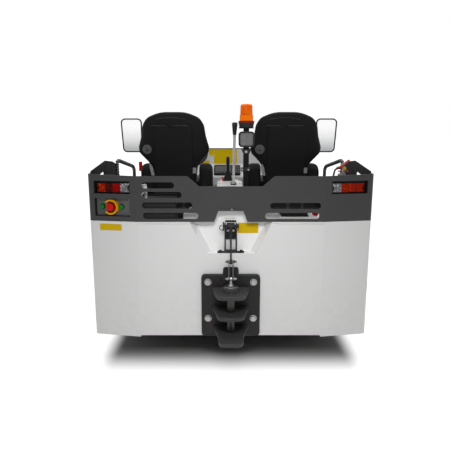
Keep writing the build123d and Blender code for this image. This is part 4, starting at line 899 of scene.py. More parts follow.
def control_box():
    """Recessed plate with the guarded stop button and two green inching buttons."""
    low, high, z0, z1 = -262.0, -40.0, 932.0, 1041.0
    middle, z, floor = -163.0, 987.0, -29.8
    back = brick((low - 2.5, high + 2.5), (z0 - 2.5, z1 + 2.5), (-33, -31.2), 0.6, 3)
    box = tray(back, (low - 1, high + 1), (z0 - 1, z1 + 1), (low, high), (z0 - 2, z1 + 2), (-32, -6.4))
    face = slab(high - low - 2, z1 - z0 - 2, 4, (low + high) / 2, (z0 + z1) / 2, -31.2, floor, 0.5)
    screw = lathe([(4, -29.9), (4, -28.6), (3, -27.7), (0.8, -27.5)], 20)
    screws = screw.spread([(x, y) for x in (low + 12, high - 12) for y in (z0 + 11, z1 - 11)])
    piece("control_tray", on_wing(box), "black_plastic")
    piece("control_plate", on_wing(face), "control_grey", node="control_box")
    piece("control_screws", on_wing(screws), "bolt_zinc")

    guard = arc(math.radians(-138), math.radians(138), 60)
    collar = plate(np.vstack([46 * guard, 35.5 * guard[::-1]]), floor, 2.4, 2.2, 4, lower_edge=0.3)
    collar += lathe([(38, floor), (38, -25), (36, -23.6), (12, -23.6)])
    skirt = lathe([(31, -23.6), (31, -14), (29, -12), (14, -12)], 40)
    head = lathe([(13, -6), (18, -2), (22, 3), (23.3, 8), (22.8, 11.5), (20, 14.4), (12, 16.2), (0.6, 16.6)])
    head += lathe([(12, -13), (12, 6)], 32)
    bezel = lathe([(17, floor), (17, -27), (16, -25.8), (14.6, -25.8), (14.4, -29)], 40, closed=True)
    cap = lathe([(14.2, -29), (14.2, -17), (13, -15.2), (10, -14.3), (0.6, -14)], 40)
    for name, shape, x, finish, node in (
        ("stop_collar", collar, middle, "stop_yellow", None),
        ("stop_skirt", skirt, middle, "amber_dark", None),
        ("stop_head", head, middle, "stop_red", "emergency_stop"),
        ("inching_bezel_0", bezel, middle - 61, "black_plastic", None),
        ("inching_cap_0", cap, middle - 61, "button_green", "inching_buttons"),
        ("inching_bezel_1", bezel, middle + 61, "black_plastic", None),
        ("inching_cap_1", cap, middle + 61, "button_green", None),
    ):
        piece(name, on_wing(shape.moved(x, z)), finish, node=node)


def labels():
    """Blank yellow plates on the left wing and in the recess."""
    piece("label_wing", on_wing(slab(138, 40, 3, -166, 865, 0.05, 0.7)), "label_yellow")
    piece("label_pocket", facing_rear(slab(127, 65, 4, 106, 853, 0.05, 0.7), 60), "label_yellow")


# Seats

# Right half of a backrest from the foot up: half width, height, radius of the corner
BACK_OUTLINE = (
    (150, 1106, 40),
    (172, 1200, 90),
    (248, 1282, 50),
    (253, 1326, 60),
    (230, 1404, 140),
    (219, 1478, 90),
    (186, 1532, 90),
    (92, 1572, 260),
)


def back_outline(foot, shrink=9):
    """Closed outline of a backrest in (x, z) down to a foot, drawn in a little."""
    right = [(half, foot if k == 0 else z) for k, (half, z, radius) in enumerate(BACK_OUTLINE)]
    radii = [radius for half, z, radius in BACK_OUTLINE]
    outline = corners(right + [(-x, z) for x, z in right[::-1]], radii + radii[::-1], 7)
    return fine(inset(outline, shrink), 10)


def settled(made):
    """Mesh of an object with its modifiers in it."""
    return bpy.data.meshes.new_from_object(made.evaluated_get(bpy.context.evaluated_depsgraph_get()))


def points_of(data):
    """Vertex places of a mesh."""
    flat = np.empty(len(data.vertices) * 3)
    data.vertices.foreach_get("co", flat)
    return flat.reshape(-1, 3)


def swollen(shape, cap, pressure=4.0, voxel=8.0, frames=14):
    """Pad blown up by cloth pressure from a smaller shape; no point moves further than the cap."""
    data = bpy.data.meshes.new("swelling")
    data.from_pydata((shape.points * 0.001).tolist(), [], shape.faces)
    made = bpy.data.objects.new("swelling", data)
    bpy.context.collection.objects.link(made)
    remesh = made.modifiers.new("remesh", "REMESH")
    remesh.mode = "VOXEL"
    remesh.voxel_size = voxel * 0.001
    made.data = settled(made)
    made.modifiers.clear()
    points = points_of(made.data)
    cloth = made.modifiers.new("cloth", "CLOTH")
    cloth.settings.use_pressure = True
    cloth.settings.uniform_pressure_force = pressure
    cloth.settings.effector_weights.gravity = 0
    cloth.point_cache.frame_end = frames
    for frame_number in range(1, frames + 1):
        bpy.context.scene.frame_set(frame_number)
    step = points_of(settled(made)) - points
    length = np.linalg.norm(step, axis=1)[:, None]
    points = points + step * np.minimum(1.0, cap * 0.001 / np.maximum(length, 1e-9))
    made.modifiers.clear()
    bpy.context.scene.frame_set(1)
    faces = [tuple(face.vertices) for face in made.data.polygons]
    bpy.data.objects.remove(made)
    return Shape(points * 1000, faces)


def grooved(shape, seams, depth=6.0, width=5.5):
    """Pulls the surface in along seams, each a function that gives the distance of points from it.

    A point at distance s from a seam sinks by depth * exp(-(s / width)^2) towards the pad's middle.
    """
    points = shape.points.copy()
    sink = np.zeros(len(points))
    for seam in seams:
        sink = np.maximum(sink, depth * np.exp(-((seam(*points.T) / width) ** 2)))
    centre = (points.min(0) + points.max(0)) / 2
    axis = int(np.argmin(points.max(0) - points.min(0)))
    points[:, axis] += np.sign(centre[axis] - points[:, axis]) * sink
    return Shape(points, shape.faces)


def backrest(far=99):
    """Sewn backrest pad; a seam ends where its distance is far."""
    pad = pillow(back_outline(1108), (0, 1320), dome(60, 0.10)).upright().moved(0, 562)
    return grooved(swollen(pad, 9), [
        lambda x, d, z: abs(abs(x) - 112) + (d < 590) * far,
        lambda x, d, z: abs(z - 1450 + 0.0004 * x ** 2) + ((abs(x) > 112) | (d < 590)) * far,
        lambda x, d, z: abs(z - 1225) + ((abs(x) > 112) | (d < 590)) * far,
    ])


def cushion(far=99):
    """Sewn seat cushion, wide in front of the restraints; a seam ends where its distance is far."""
    plan = [
        (-155, 652), (155, 652), (155, 752), (226, 752), (212, 1066), (-212, 1066), (-226, 752), (-155, 752),
    ]
    plan = fine(corners(plan, [8, 8, 6, 20, 40, 40, 20, 6]), 10)
    pad = pillow(plan, (0, 860), dome(84, 0.09)).moved(0, 0, 1003)
    return grooved(swollen(pad, 8), [
        lambda x, d, z: abs(abs(x) - 128) + (z < 1040) * far,
        lambda x, d, z: abs(d - 930) + ((abs(x) > 128) | (z < 1040)) * far,
    ])


def on_back(shape, side):
    """Upright shape leaned with the backrest of the left (-1) or right (1) seat."""
    x = side * SEAT_X + (2 if side > 0 else -6)
    return tilted(shape, SEAT_FOOT, SEAT_LEAN).moved(x, 0, 8)


def seats():
    """Bucket seats: moulded shells, sewn pads, cushions, restraint pods and belts."""
    rows = [
        (0.05, 0.5), (0.3, 0.6), (0.55, 1.0), (0.70, 2.0), (0.80, 4.0), (0.875, 7.5), (0.93, 13),
        (0.965, 20), (0.985, 28), (0.99, 36), (0.985, 44), (0.9, 44.9), (0.5, 44.9), (0.05, 44.9),
    ]
    shell = pillow(back_outline(1001), (0, 1290), rows).upright().moved(0, 515)
    cover = symmetric([(128, 1030), (128, 1473), (26, 1473), (20, 1462)], [24, 24, 6, 4])
    shell += facing_rear(plate(cover, 0, 9, 5.0, 4, lower_edge=0.2), 516)
    rest, seat = backrest(), cushion()
    pod = [(563, 1002), (738, 1002), (738, 1146), (690, 1206), (600, 1206), (563, 1170)]
    rows = [(0.82, 0), (0.94, 4), (1.0, 14), (1.0, 60), (0.97, 72), (0.88, 85), (0.74, 93), (0.60, 95)]
    pod = pillow(fine(corners(pod, [14, 26, 36, 40, 30, 24], 6), 14), (650, 1100), rows).sideways()
    pods = pod.moved(160) + pod.mirrored().moved(-160)
    knob = lathe([(32, -4), (32, 16), (30, 19), (24, 20), (8, 19.4), (6, 17)], 40)
    screw = lathe([(5, 19), (5, 20.6), (4, 21)], 20)
    x = np.linspace(-118, 88, 16)
    crown = np.column_stack([x, 515 + 0.0006 * (x + 15) ** 2, 1527 - 0.0011 * (x + 15) ** 2])
    # the two straight strips along the cover's top edge are painted highlights; the crown arc is raised
    # piping
    lines = pipe([(-138, 511, 1475), (-44, 511, 1475)], 2.6, 8)
    lines += pipe([(4, 511, 1475), (106, 511, 1475)], 2.6, 8) + pipe(crown, 1.8, 8)
    belt = corners([(-158, 1134), (-136, 1134), (-146, 1190), (-158, 1214), (-172, 1214), (-166, 1170)], 4)
    belt = plate(belt, 0, 2.5, 0.8) + slab(36, 40, 4, 133, 1170, 0, 3, 1.0)
    for side, name in SIDES:
        rest_here, seat_here = on_back(rest, side), seat.moved(side * SEAT_X)
        piece(f"seat_piping_and_highlights_{name}", on_back(lines, side), "stitch")
        piece(f"belt_parts_{name}", on_back(facing_rear(belt, 513), side), "webbing")
        piece(f"seat_shell_{name}", on_back(shell, side), "shell_black", node="seat_shells", angle=40)
        for label, pad, node in (
            ("backrest", rest_here, "backrest_pads"),
            ("cushion", seat_here, "seat_cushions"),
        ):
            made = piece(f"{label}_{name}", pad, "seat_leather", node=node, angle=180, subdivide=1)
        piece(f"restraint_{name}", pods.moved(side * SEAT_X), "shell_black", node="hip_restraints")
        for label, shape, z, finish in (
            ("lumbar_knob", knob, 1316, "knob_grey"),
            ("lumbar_screw", screw, 1310, "black_plastic"),
        ):
            piece(f"{label}_{name}", on_back(facing_rear(shape, 524).moved(-178, 0, z), side), finish)
    piece("belt_buckle", brick((-655, -634), (640, 672), (1150, 1217), 3, 5), "stop_red")


# Things on the deck and the post


def deck_things():
    """Behind the panel's slots: strap and cover sheets, a white filler cap and a red connector."""
    sheets = brick((-12, 12), (6.2, 61), (1028, 1032), 0.6, 1).spread([(250,), (388,), (526,)])
    sheets += brick((-12, 12), (6.2, 81), (1082, 1086), 0.6, 1).spread([(-262,), (-240,)])
    sheets += brick((-328, -222), (80, 83), (960, 1088), 0.8, 1.5)
    sheets += brick((232, 554), (60, 63), (970, 1040), 0.8, 1.5)
    strips = brick((-312, -277), (74, 78.5), (902.4, 1090), 0.8, 1.5)
    for x in ((427, 442), (337, 357)):
        strips = brick(x, (58.4, 60.2), (972, 1038), 0.5, 0.8) + strips
    cap = lathe([(10, 0), (10, 22), (15, 24), (16, 28), (16, 62), (14, 66), (6, 68), (0.6, 68)], 32)
    plug = rod(12, (534, 562), 215, 914.5, 3) + rod(8, (526, 536), 215, 914.5, 1)
    piece("deck_sheets", sheets, "sheet_grey")
    piece("deck_strips", strips, "charcoal")
    piece("filler_cap", cap.turned("y", -10).moved(-514, 60, 1056), "label_white")
    piece("filler_stem", rod(8, -515, 60, (1035.2, 1062), 1.0), "label_white")
    piece("red_connector", plug, "stop_red")


def work_lamp():
    """Post's clamp, and the square work lamp: case with fins and yoke, lens with four round cells."""
    x, d = POST
    piece("post_clamp", brick((x - 34, x + 27), (d - 26, d + 22), (1180, 1204), 2.5, 4), "black_plastic")
    heads = facing_rear(bolt(5.5, 5, 7), d - 26).spread([(x + 15, 0, 1191), (x - 26, 0, 1192)])
    piece("post_bolts", heads, "bolt_zinc")
    outline = rectangle(102, 98, 22, steps=7)
    case = plate(inset(outline, 3), 0.2, 40, 3, lower_edge=9) + hoop(outline, 10, 30, 47.5, 3.5)
    case += brick((-40, 40), (-1.5, 1.5), (0, 9), 0.6).spread([(0, 11 * k) for k in range(-2, 3)])
    case += plate(corners([(-30, -62), (30, -62), (17, -92), (-17, -92)], 6), 2, 10, 2)
    cell = lathe([(17, 42.6), (16, 44), (13.5, 44.2), (11, 43), (6, 42.4), (0.5, 42.2)], 32)
    cells = cell.spread([(u, v) for u in (-19, 19) for v in (-17.5, 17.5)])
    for name, shape, finish, node in (
        ("work_lamp_case", case, "black_plastic", "work_lamp"),
        ("work_lamp_lens", plate(inset(outline, 10.2), 34, 43, 2.5), "lens_grey", None),
        ("work_lamp_cells", cells, "lens_cells", None),
        ("work_lamp_bolts", bolt(6.5, 5, 8.5).moved(-1, -79, 10), "bolt_zinc", None),
    ):
        piece(name, facing_rear(shape, d - 18.3).moved(x, 0, WORK_LAMP_Z), finish, node=node)


def beacon():
    """Base, flange and a lens that is ribbed up to its shoulder.

    The radius of the ribs has a factor of 1 + 0.006 cos(pi k / 2) at point k round the lens.
    """
    segments, shoulder = 144, 133
    base = [
        (20, 0), (44, 0), (46, 2), (46.4, 9), (45.4, 10), (45.8, 12), (47, 13), (49.4, 29), (49.6, 31),
        (40, 33),
    ]
    flange = [(40, 30.5), (51, 30.5), (51.6, 32), (51.6, 38), (50, 41), (44, 42.5), (40, 43)]
    dome_rows = [
        (42.6, 42), (42.6, 74), (42, 77.5), (39.3, 79), (38.9, 80.5), (38.9, 84), (39.4, 85.5),
        (38, 132), (36.8, 138), (33, 142.8), (26, 145.2), (13, 145.9), (0.6, 146),
    ]
    lens = lathe(dome_rows, segments)
    ribs = 0.006 * np.cos(np.arange(len(lens.points)) % segments * TAU / 4) * (lens.points[:, 2] < shoulder)
    lens.points[:, :2] *= 1 + ribs[:, None]
    place = (*POST, BEACON_FOOT)
    piece("beacon_base", lathe(base, 64).moved(*place), "black_plastic")
    piece("beacon_flange", lathe(flange, 64).moved(*place), "amber_dark")
    piece("beacon_lens", lens.moved(*place), "beacon_amber", node="beacon")


# Mirrors, rails and extinguisher


def mirrors():
    """Mirrors in thin frames on bent arms."""
    x, z, front = 862.0, 1390.0, 1500.0
    outline = corners([(-94, -148), (80, -148), (94, 148), (-94, 148)], 39, 8)
    rows = [(1.0, 6)] + [(1 - 0.16 * (1 - c), 6 + 21 * s) for c, s in arc(0, math.pi / 2, 7)]
    shell = pillow(fine(outline, 16), (-4, 0), rows + [(0.6, 27.6), (0.3, 27.9), (0.02, 28)])
    case = facing_front(shell, front) + facing_rear(hoop(outline, 11.5, -9, 2.5, 2.0), front)
    pane = facing_rear(plate(inset(outline, 11.0), -6.0, -1.0, 0.6), front).moved(x, 0, z)
    arm_x, arm_z = x - 20, z - 128
    foot_x, foot_d, foot_z = 740.3, 1880.0, 1190.0
    path = [
        (foot_x + 6, foot_d, foot_z),
        (foot_x + 60, foot_d - 30, foot_z + 10),
        (arm_x, front + 100, arm_z),
        (arm_x, front + 24, arm_z),
    ]
    arm = pipe(bend(path, [18, 40], 8), 8.8, 18)
    arm += rod(25, (foot_x + 0.2, foot_x + 8), foot_d, foot_z, 1.5, 36)
    arm += rod(13, (foot_x + 7, foot_x + 20), foot_d, foot_z, 2)
    arm += rod(14, arm_x, (front + 20, front + 40), arm_z, 2)
    heads = bolt(5, 4, 6.5).turned("y", 90).moved(foot_x + 8, foot_d, foot_z).spread([(0, -17), (0, 17)])
    for side, name in SIDES:
        piece(f"mirror_case_{name}", (case.moved(x, 0, z) + arm).on(side), "black_plastic", node="mirrors")
        piece(f"mirror_glass_{name}", pane.on(side), "mirror_glass")
        piece(f"mirror_bolts_{name}", heads.on(side), "bolt_zinc")


def rails():
    """Handrails in ribbed rubber, each on two flanges.

    The radius along the rail is 13 + 2 sin(2 pi s / 18) with s in millimetres, and smooth near the feet.
    """
    feet = ((828, 720), (754, 985))
    (x, d), (x2, d2) = feet
    path = bend([(x, d, DECK_Z), (x, d, 1226), (x2, d2, 1155), (x2, d2, DECK_Z)], [30, 50], 10)
    length = np.r_[0, np.cumsum(np.linalg.norm(np.diff(path, axis=0), axis=1))]
    s = np.arange(0, length[-1], 1.8)
    path = np.stack([np.interp(s, length, path[:, k]) for k in range(3)], 1)
    grip = np.clip((path[:, 2] - 1120) / 12, 0, 1)
    flange = [(12, 0.3), (29, 0.3), (30, 1.3), (30, 5), (28.6, 6.5), (18, 7.5), (15, 12), (12, 12)]
    rail = pipe(path, 13.0 + grip * 2.0 * np.sin(TAU * s / 18), 18)
    rail += lathe(flange, 40).spread([(*foot, DECK_Z) for foot in feet])
    piece("handrail_right", rail, "rubber_grip", node="handrails")
    piece("handrail_left", rail.mirrored(), "rubber_grip")
    heads = bolt(5, 4.5, 6.5).spread([(x + step, d, DECK_Z + 6.3) for x, d in feet for step in (-22, 22)])
    piece("handrail_bolts", heads.both(), "bolt_zinc")


def extinguisher():
    """Fire extinguisher in its bracket: bottle, label, valve with levers, gauge and handle."""
    bottle = lathe([
        (20, 0.4), (48, 0.4), (50, 2), (50, 10), (54, 14), (54.6, 20), (54.6, 184),
        (52, 196), (45, 207), (33, 215), (19, 219), (17.5, 226), (12, 228),
    ], 64)
    label = [(54.8, 58), (55.1, 58.6), (55.1, 155.4), (54.8, 156), (54, 156), (54, 58)]
    label = lathe(label, 64, closed=True)
    x, y = label.points[:, 0], label.points[:, 1]
    seen = np.cos(np.arctan2(y, x) + math.pi / 2) > -0.3
    label = Shape(label.points, [face for face in label.faces if seen[face[0]]])
    band = lathe([(55.2, 28), (57.2, 28), (57.2, 46), (55.2, 46)], 56, closed=True)
    heights = [(0, 0, 0), (0, 0, 142)]
    bracket = band.spread(heights) + brick((-9, 9), (-62, -54), (27, 47), 1.5).spread(heights)
    bracket += brick((-16, 16), (56.5, 62), (1, 196), 1.5)
    valve = lathe([
        (13, 224), (17, 225), (17, 234), (13, 236), (12.5, 248), (15, 250), (15, 288), (13, 292),
        (13, 301), (8, 304),
    ], 32) + rod(7, (-34, 0), -2, 256, 1.2, 24)
    grip = corners([(-34, 275), (-16, 273), (20, 273), (34, 276), (34, 282), (-34, 282)], 3)
    lever = [(-46, 303), (-38, 293), (-12, 299), (40, 347), (34, 355), (-22, 312)]
    lever = corners(lever, [3, 3, 6, 3, 3, 8])
    gauge = [(7, 13), (11, 13), (11.6, 14), (11.6, 19), (10.6, 20), (9.6, 20), (9.4, 19.4), (0.5, 19.4)]
    bail = [(-56, 8, 180), (-60, 8, 248), (-50, 8, 294), (12, 8, 298), (30, 8, 258), (30, 8, 204)]
    levers_shape = facing_front(plate(grip, -9, 9, 1.2) + plate(lever, -9.5, 9.5, 1.2))
    for name, shape, finish, slot in (
        ("bottle", bottle, "extinguisher_red", None),
        ("label", label, "label_white", None),
        ("bracket", bracket, "black_metal", None),
        ("valve", valve, "bolt_zinc", None),
        ("levers", levers_shape, "extinguisher_red", None),
        ("gauge", facing_rear(lathe(gauge, 32)).moved(4, 0, 297), "gauge_yellow", None),
        ("handle", pipe(bend(bail, [20, 26, 24, 20]), 6.0, 14), "frame_grey", "black_metal"),
    ):
        placed = shape.moved(*EXTINGUISHER, DECK_Z)
        piece(f"extinguisher_{name}", placed, finish, node="fire_extinguisher")


# Console, levers and dash


def console():
    """Slot insert and screw of the hood, the panel's seam, and the console's lid, gate and screws."""
    insert = brick((-34, 34), (889, 901.5), (-6, 1.2), 0.6, 3)
    screw = lathe([(4.4, 0.2), (4.4, 1.6), (3.2, 2.6), (0.6, 2.8)], 24).moved(6, 978)
    piece("hood_insert", facing_rear(insert, 60), "black_plastic")
    piece("hood_screw", facing_rear(screw), "bolt_zinc")
    piece("panel_seam", facing_rear(brick((-78, 90), (984.0, 985.6), (0.1, 0.6), 0.2)), "black_plastic")
    lid = [(-88, 700), (88, 700), (88, 876), (56, 1002), (-56, 1002), (-88, 876)]
    lid = corners(lid, [10, 10, 20, 12, 12, 20])
    gate = corners([(6, 640), (48, 640), (48, 760), (6, 760)], 8)
    screws = lathe([(5, 0), (5, 1.6), (4, 3), (1, 3.4)], 20).spread([
        (x, d, CONSOLE_Z) for x, d in ((-74, 720), (74, 720), (-74, 870), (74, 870), (-48, 986), (48, 986))
    ])
    piece("console_lid", plate(lid, 1050.2, CONSOLE_Z, 2.5), "body_white")
    piece("lever_gate", hoop(gate, 8, 1050.3, 1058.5, 2), "black_plastic")
    piece("console_screws", screws, "bolt_zinc")


def levers():
    """Drive selector with its bellows, and the white release lever with its tapered knob."""
    place = (-12, 905, CONSOLE_Z)
    rows = []
    for k in range(6):
        r, z = 36 - 3.4 * k, 8 + 10.5 * k
        rows += [(r - 4, z), (r, z + 2.5), (r, z + 6.5), (r - 4.5, z + 9)]
    boot = brick((-42, 42), (-50, 50), (0.2, 8), 3, 12) + lathe(rows + [(13, 73), (13, 77)])
    grip = lathe([
        (9, 69), (13, 72), (14, 77), (13.2, 95), (14, 120), (14.6, 150), (14.2, 171), (12, 181),
        (7, 185.4), (0.6, 186),
    ], 40)
    grip.points[:, 1] *= 1.12
    catch = brick((-46, -34), (-48, -34), (6, 31), 2.5)
    piece("selector_boot", boot.moved(*place), "rubber_black", node="gear_selector")
    piece("selector_grip", grip.moved(*place), "knob_dark")
    piece("selector_catch", catch.moved(*place), "stop_red")

    foot, length = (27.0, 700.0, 1030.3), 465.7
    shaft = lathe([(8.2, 0), (8.8, 2), (11.2, length - 88), (11.2, length - 84)], 32).moved(*foot)
    knob = lathe([
        (9, -90), (11.6, -88), (13.2, -84), (16.6, -52), (20.2, -20), (20.6, -12), (18.6, -4), (13, -0.6),
        (0.6, 0),
    ], 40).moved(0, 0, length).moved(*foot)
    piece("release_lever_rod", tilted(shaft, foot, 3, 1.0), "lever_white", node="release_lever")
    piece("release_lever_knob", tilted(knob, foot, 3, 1.0), "knob_dark")


DESK = ((1660.0, 1010.0), (1800.0, 1105.0))
COWL = ((1822.0, 1112.0), (1870.0, 1264.0))
SIGNS = ((222, 148, 3, -30, -3), (46, 62, 3, -166, 40), (66, 36, 3, -216, -61))


def on_slope(shape, ends):
    """Drawn as (x, along, out): set on the slope between two ends (d, z), the origin at its middle."""
    (d0, z0), (d1, z1) = ends
    turned = shape.turned("x", math.degrees(math.atan2(z1 - z0, d1 - d0)))
    return turned.moved(0, (d0 + d1) / 2, (z0 + z1) / 2)


def dash():
    """Display with its keys, switches, key switch, blank yellow labels and the cowl's lip."""
    outline = rectangle(250, 130, 12, -15)
    case = plate(outline, 0.3, 20, 2.5, lower_edge=0.4) + hoop(inset(outline, 1), 7, 18, 22.3, 1.6)
    keys = [slab(20, 12, 2.5, x, y, 19, 22.2, 0.8) for x in (44, 70, 96) for y in (-34, -8, 18, 40)]
    keys += [slab(28, 9, 2.5, x, -47, 19, 22.0, 0.8) for x in (-110, -72, -34, 4)]
    rocker = slab(24, 44, 3, 0, 8, 0.3, 4, 1.0) + slab(18, 36, 2, 0, 8, 3, 8.5, 2.0)
    lock = lathe([(16, 0.3), (16, 5), (14, 7), (9, 7.4), (8, 12), (3, 12.4)], 32)
    lock += slab(4, 20, 1, 0, 0, 11, 24, 1)
    signs = joined([slab(*sizes, 0.2, 0.8) for sizes in SIGNS])
    piece("display_case", on_slope(case, DESK), "black_plastic", node="display_unit")
    piece("display_screen", on_slope(slab(146, 76, 4, -53, 8, 19, 21, 0.5), DESK), "lcd_grey")
    piece("display_keys", on_slope(joined(keys), DESK), "key_grey")
    piece("switches", on_slope(rocker.spread([(150,), (180,), (210,)]), DESK), "black_plastic")
    piece("key_switch", on_slope(lock.moved(-178, 8), DESK), "bolt_zinc")
    piece("dash_labels", on_slope(signs, COWL), "label_dash")
    piece("cowl_lip", on_slope(brick((-560, 560), (-2, 8), (0.2, 5), 1.5, 2).moved(0, 74), COWL), "rim_grey")


# Steering and pedals


def on_column(shape, along=0.0):
    """Drawn about the column's axis, z up from where it leaves the dash: leaned towards the driver."""
    return shape.moved(0, 0, along).turned("x", COLUMN_TILT).moved(*COLUMN_FOOT)


def steering():
    """Steering wheel with finger waves, three spokes and a horn pad, and the column's stalk and boots.

    The rim's tube has a radius of 13.4 + 0.6 cos(16 t) (1 - sin a) / 2, with t the angle round the wheel
    and a the angle round the tube.
    """
    length = 240.0
    t = np.linspace(0, TAU, 192, endpoint=False)[:, None]
    a = np.linspace(0, TAU, 20, endpoint=False)[None, :]
    tube = 13.4 + 0.6 * np.cos(16 * t) * (0.5 - 0.5 * np.sin(a))
    ring = 175.6 + tube * np.cos(a)
    points = np.stack([ring * np.cos(t), ring * np.sin(t), tube * np.sin(a) + 0 * t], -1)
    rim = Shape(points, quads(192, 20, True, True))
    blade = [(22, -20), (100, -13), (168, -17), (168, 17), (100, 13), (22, 20)]
    blade = plate(corners(blade, [2, 30, 2, 2, 30, 2]), -11, -2.5, 2.5)
    rim += joined([blade.turned("z", turn) for turn in (90, 210, 330)])
    hub = lathe([(10.3, -23), (34, -23), (36, -20), (36, 2), (33, 6)])
    pad = lathe([(33, 2), (34, 5), (32, 9), (24, 12.5), (10, 14.6), (0.6, 15)])
    stalk = pipe(bend([(30, 0, 190), (90, 4, 200), (128, 6, 214)], 30), [4.5] * 7 + [5.0, 5.2], 12)
    stalk += lathe([(5, 0), (8, 3), (9, 12), (7, 26), (0.6, 28)], 24).turned("y", 76).moved(126, 6, 213)
    boot = lathe([(58, -6), (64, 10), (63, 16), (56, 18), (55, 30), (53, 32), (50, 34)], 56)
    boot += lathe([(46, 92), (49.5, 94), (49.5, 104), (45, 106)], 56)
    piece("steering_wheel_rim", on_column(rim, length), "rubber_black", "steering_wheel", "steering_wheel")
    piece("steering_wheel_hub", on_column(hub, length), "black_plastic", "steering_wheel")
    piece("steering_wheel_pad", on_column(pad, length), "knob_dark", "steering_wheel")
    piece("column_stalk", on_column(stalk), "black_plastic")
    piece("column_boot", on_column(boot), "rubber_black")


def pedal_pads():
    """Ribbed rubber covers on both pedals."""
    covers = []
    for x, width in ((-SEAT_X - 60, 90), (-SEAT_X + 100, 60)):
        rib = brick((5 - width / 2, width / 2 - 5), (-2.5, 2.5), (8, 11), 1.2)
        ribs = rib.spread([(0, y) for y in np.linspace(-44, 44, 8)])
        cover = plate(rectangle(width + 4, 114, 8), 4.2, 8.5, 1.6) + ribs
        covers.append(cover.turned("x", -50).moved(x, FOOT_WALL - 155, 668))
    piece("pedal_covers", joined(covers), "rubber_black")


# Wheels


def at_wheel(shape, side, d):
    """Drawn about the wheel's axis with +X outwards: put at a hub."""
    return shape.moved(HUB_X).on(side).moved(0, d, HUB_Z)


def tread(lugs=34, slot=0.20, depth=11):
    """Tyre with ring grooves and slanted shoulder lugs.

    Points run round the profile (x, r) and round the axis. The slots between lugs sink by up to the depth:
    radius = r - depth * sink(angle) * shoulder(x, r). The shoulder rises from 0 at |x| = 55 to 1 at 69 mm,
    and fades down the sidewall from 1 at r = 340 to 0 at 322 mm.
    """
    rim, top, groove = 190.5, 359.6, 350.4
    profile = [
        (86, rim), (86, rim + 22), (97, rim + 34), (100, rim + 46), (103.4, rim + 62), (104.4, 275),
        (104.9, 292), (103.2, 296), (104, 300), (103.6, 318), (101, 334), (98.5, 342), (91, 352),
        (86, 355.6), (76, 358.8), (73, 359.4), (46.5, top), (45, top - 1.2), (43.4, groove),
        (36.6, groove), (35, top - 1.2), (33.5, top), (6, top), (4.6, top - 1.2), (3.2, groove),
    ]
    x, r = np.array(profile + [(-x, r) for x, r in profile[::-1]]).T
    pitch = TAU / lugs
    steps = np.array([0.0, 0.04, slot - 0.04, slot, (1 + slot) / 2])
    angle = ((np.arange(lugs)[:, None] + steps) * pitch).ravel()[:, None]
    sink = np.tile([0.0, 1.0, 1.0, 0.0, 0.0], lugs)[:, None]
    shoulder = np.clip((np.abs(x) - 55) / 14, 0, 1) * np.clip((r - 322) / 18, 0, 1)
    lean = np.where(np.abs(x) > 40, (np.abs(x) - 40) / 64 * 0.22 * pitch, 0)
    turn = angle + lean * np.sign(x) + (x < 0) * pitch / 2
    radius = r - depth * sink * shoulder
    points = np.stack([np.broadcast_to(x, radius.shape), radius * np.cos(turn), radius * np.sin(turn)], -1)
    return Shape(points, quads(len(angle), len(x), True))


def wheels():
    """Tyres, nuts, hub caps and valves of all four wheels."""
    tyre = tread()
    nut = bolt(10.5, 12, 14).turned("y", 90).moved(28) + rod(6.4, (36, 46), 0, 0, 1.0, 16)
    nuts = nut.spread([(0, 104 * c, 104 * s) for c, s in arc(TAU / 16, TAU * 17 / 16, 8, endpoint=False)])
    cap = lathe([
        (44, 75.8), (56, 76), (57.4, 77.4), (57.4, 79), (55, 80.4), (46, 81), (44, 84.5), (40, 87),
        (18, 88.6), (16, 87.4), (0.6, 87.4),
    ], 56).turned("y", 90)
    valve = pipe(bend([(34, 0, 158), (46, 0, 156), (60, 0, 152)], 6), 4.0, 12)
    for end, d in AXLES:
        for side, name in SIDES:
            wheel = f"{end}_{name}"
            for label, shape, finish, node, angle in (
                ("tread", tyre, "tyre", f"tyre_{wheel}", 28),
                ("wheel_nuts", nuts, "bolt_zinc", None, 35),
                ("hub_cap", cap, "rim_grey", None, 35),
                ("valve", valve, "black_plastic", None, 35),
            ):
                piece(f"{label}_{wheel}", at_wheel(shape, side, d), finish, f"wheel_{wheel}", node, angle)


# Front end and floor


def front_end():
    """Headlamps with reflector domes, and the screws of the fascia."""
    outline = rectangle(186, 106, 16)
    bezel = hoop(outline, 8, 0.4, 21, 3) + plate(inset(outline, 6), 0.4, 8, 1)
    lens = plate(inset(outline, 8.3), 7, 12.5, 2)
    dome_rows = [(39, 12), (38, 14), (34, 14.4), (31, 12.6), (24, 12.2), (15, 15.5), (0.6, 17.6)]
    domes = lathe(dome_rows).spread([(-42,), (42,)])
    for side, name in SIDES:
        for label, shape, finish in (
            ("bezel", bezel, "black_plastic"),
            ("lens", lens, "lens_clear"),
            ("domes", domes, "lens_grey"),
        ):
            placed = facing_front(shape, NOSE_D).moved(side * 430, 0, 735)
            piece(f"headlamp_{label}_{name}", placed, finish, node="headlamps")
    screw = lathe([(6, 6.4), (6, 8), (4.6, 9.8), (0.8, 10.2)], 24)
    screws = screw.spread([(x, z) for x in (-555, -270, 270, 555) for z in (585, 880)])
    piece("fascia_screws", facing_front(screws, NOSE_D), "bolt_zinc")


def arch_liners():
    """Thin black liners over the front wheels, so that the arches are closed under the bonnet."""
    over = arc(math.radians(-8), math.radians(188), 66)
    band = np.vstack([434.5 * over, 431.0 * over[::-1]]) + (AXLES[1][1], HUB_Z)
    piece("arch_liners", plate(band, 500, 850, 0.5).sideways().both(), "rubber_black")


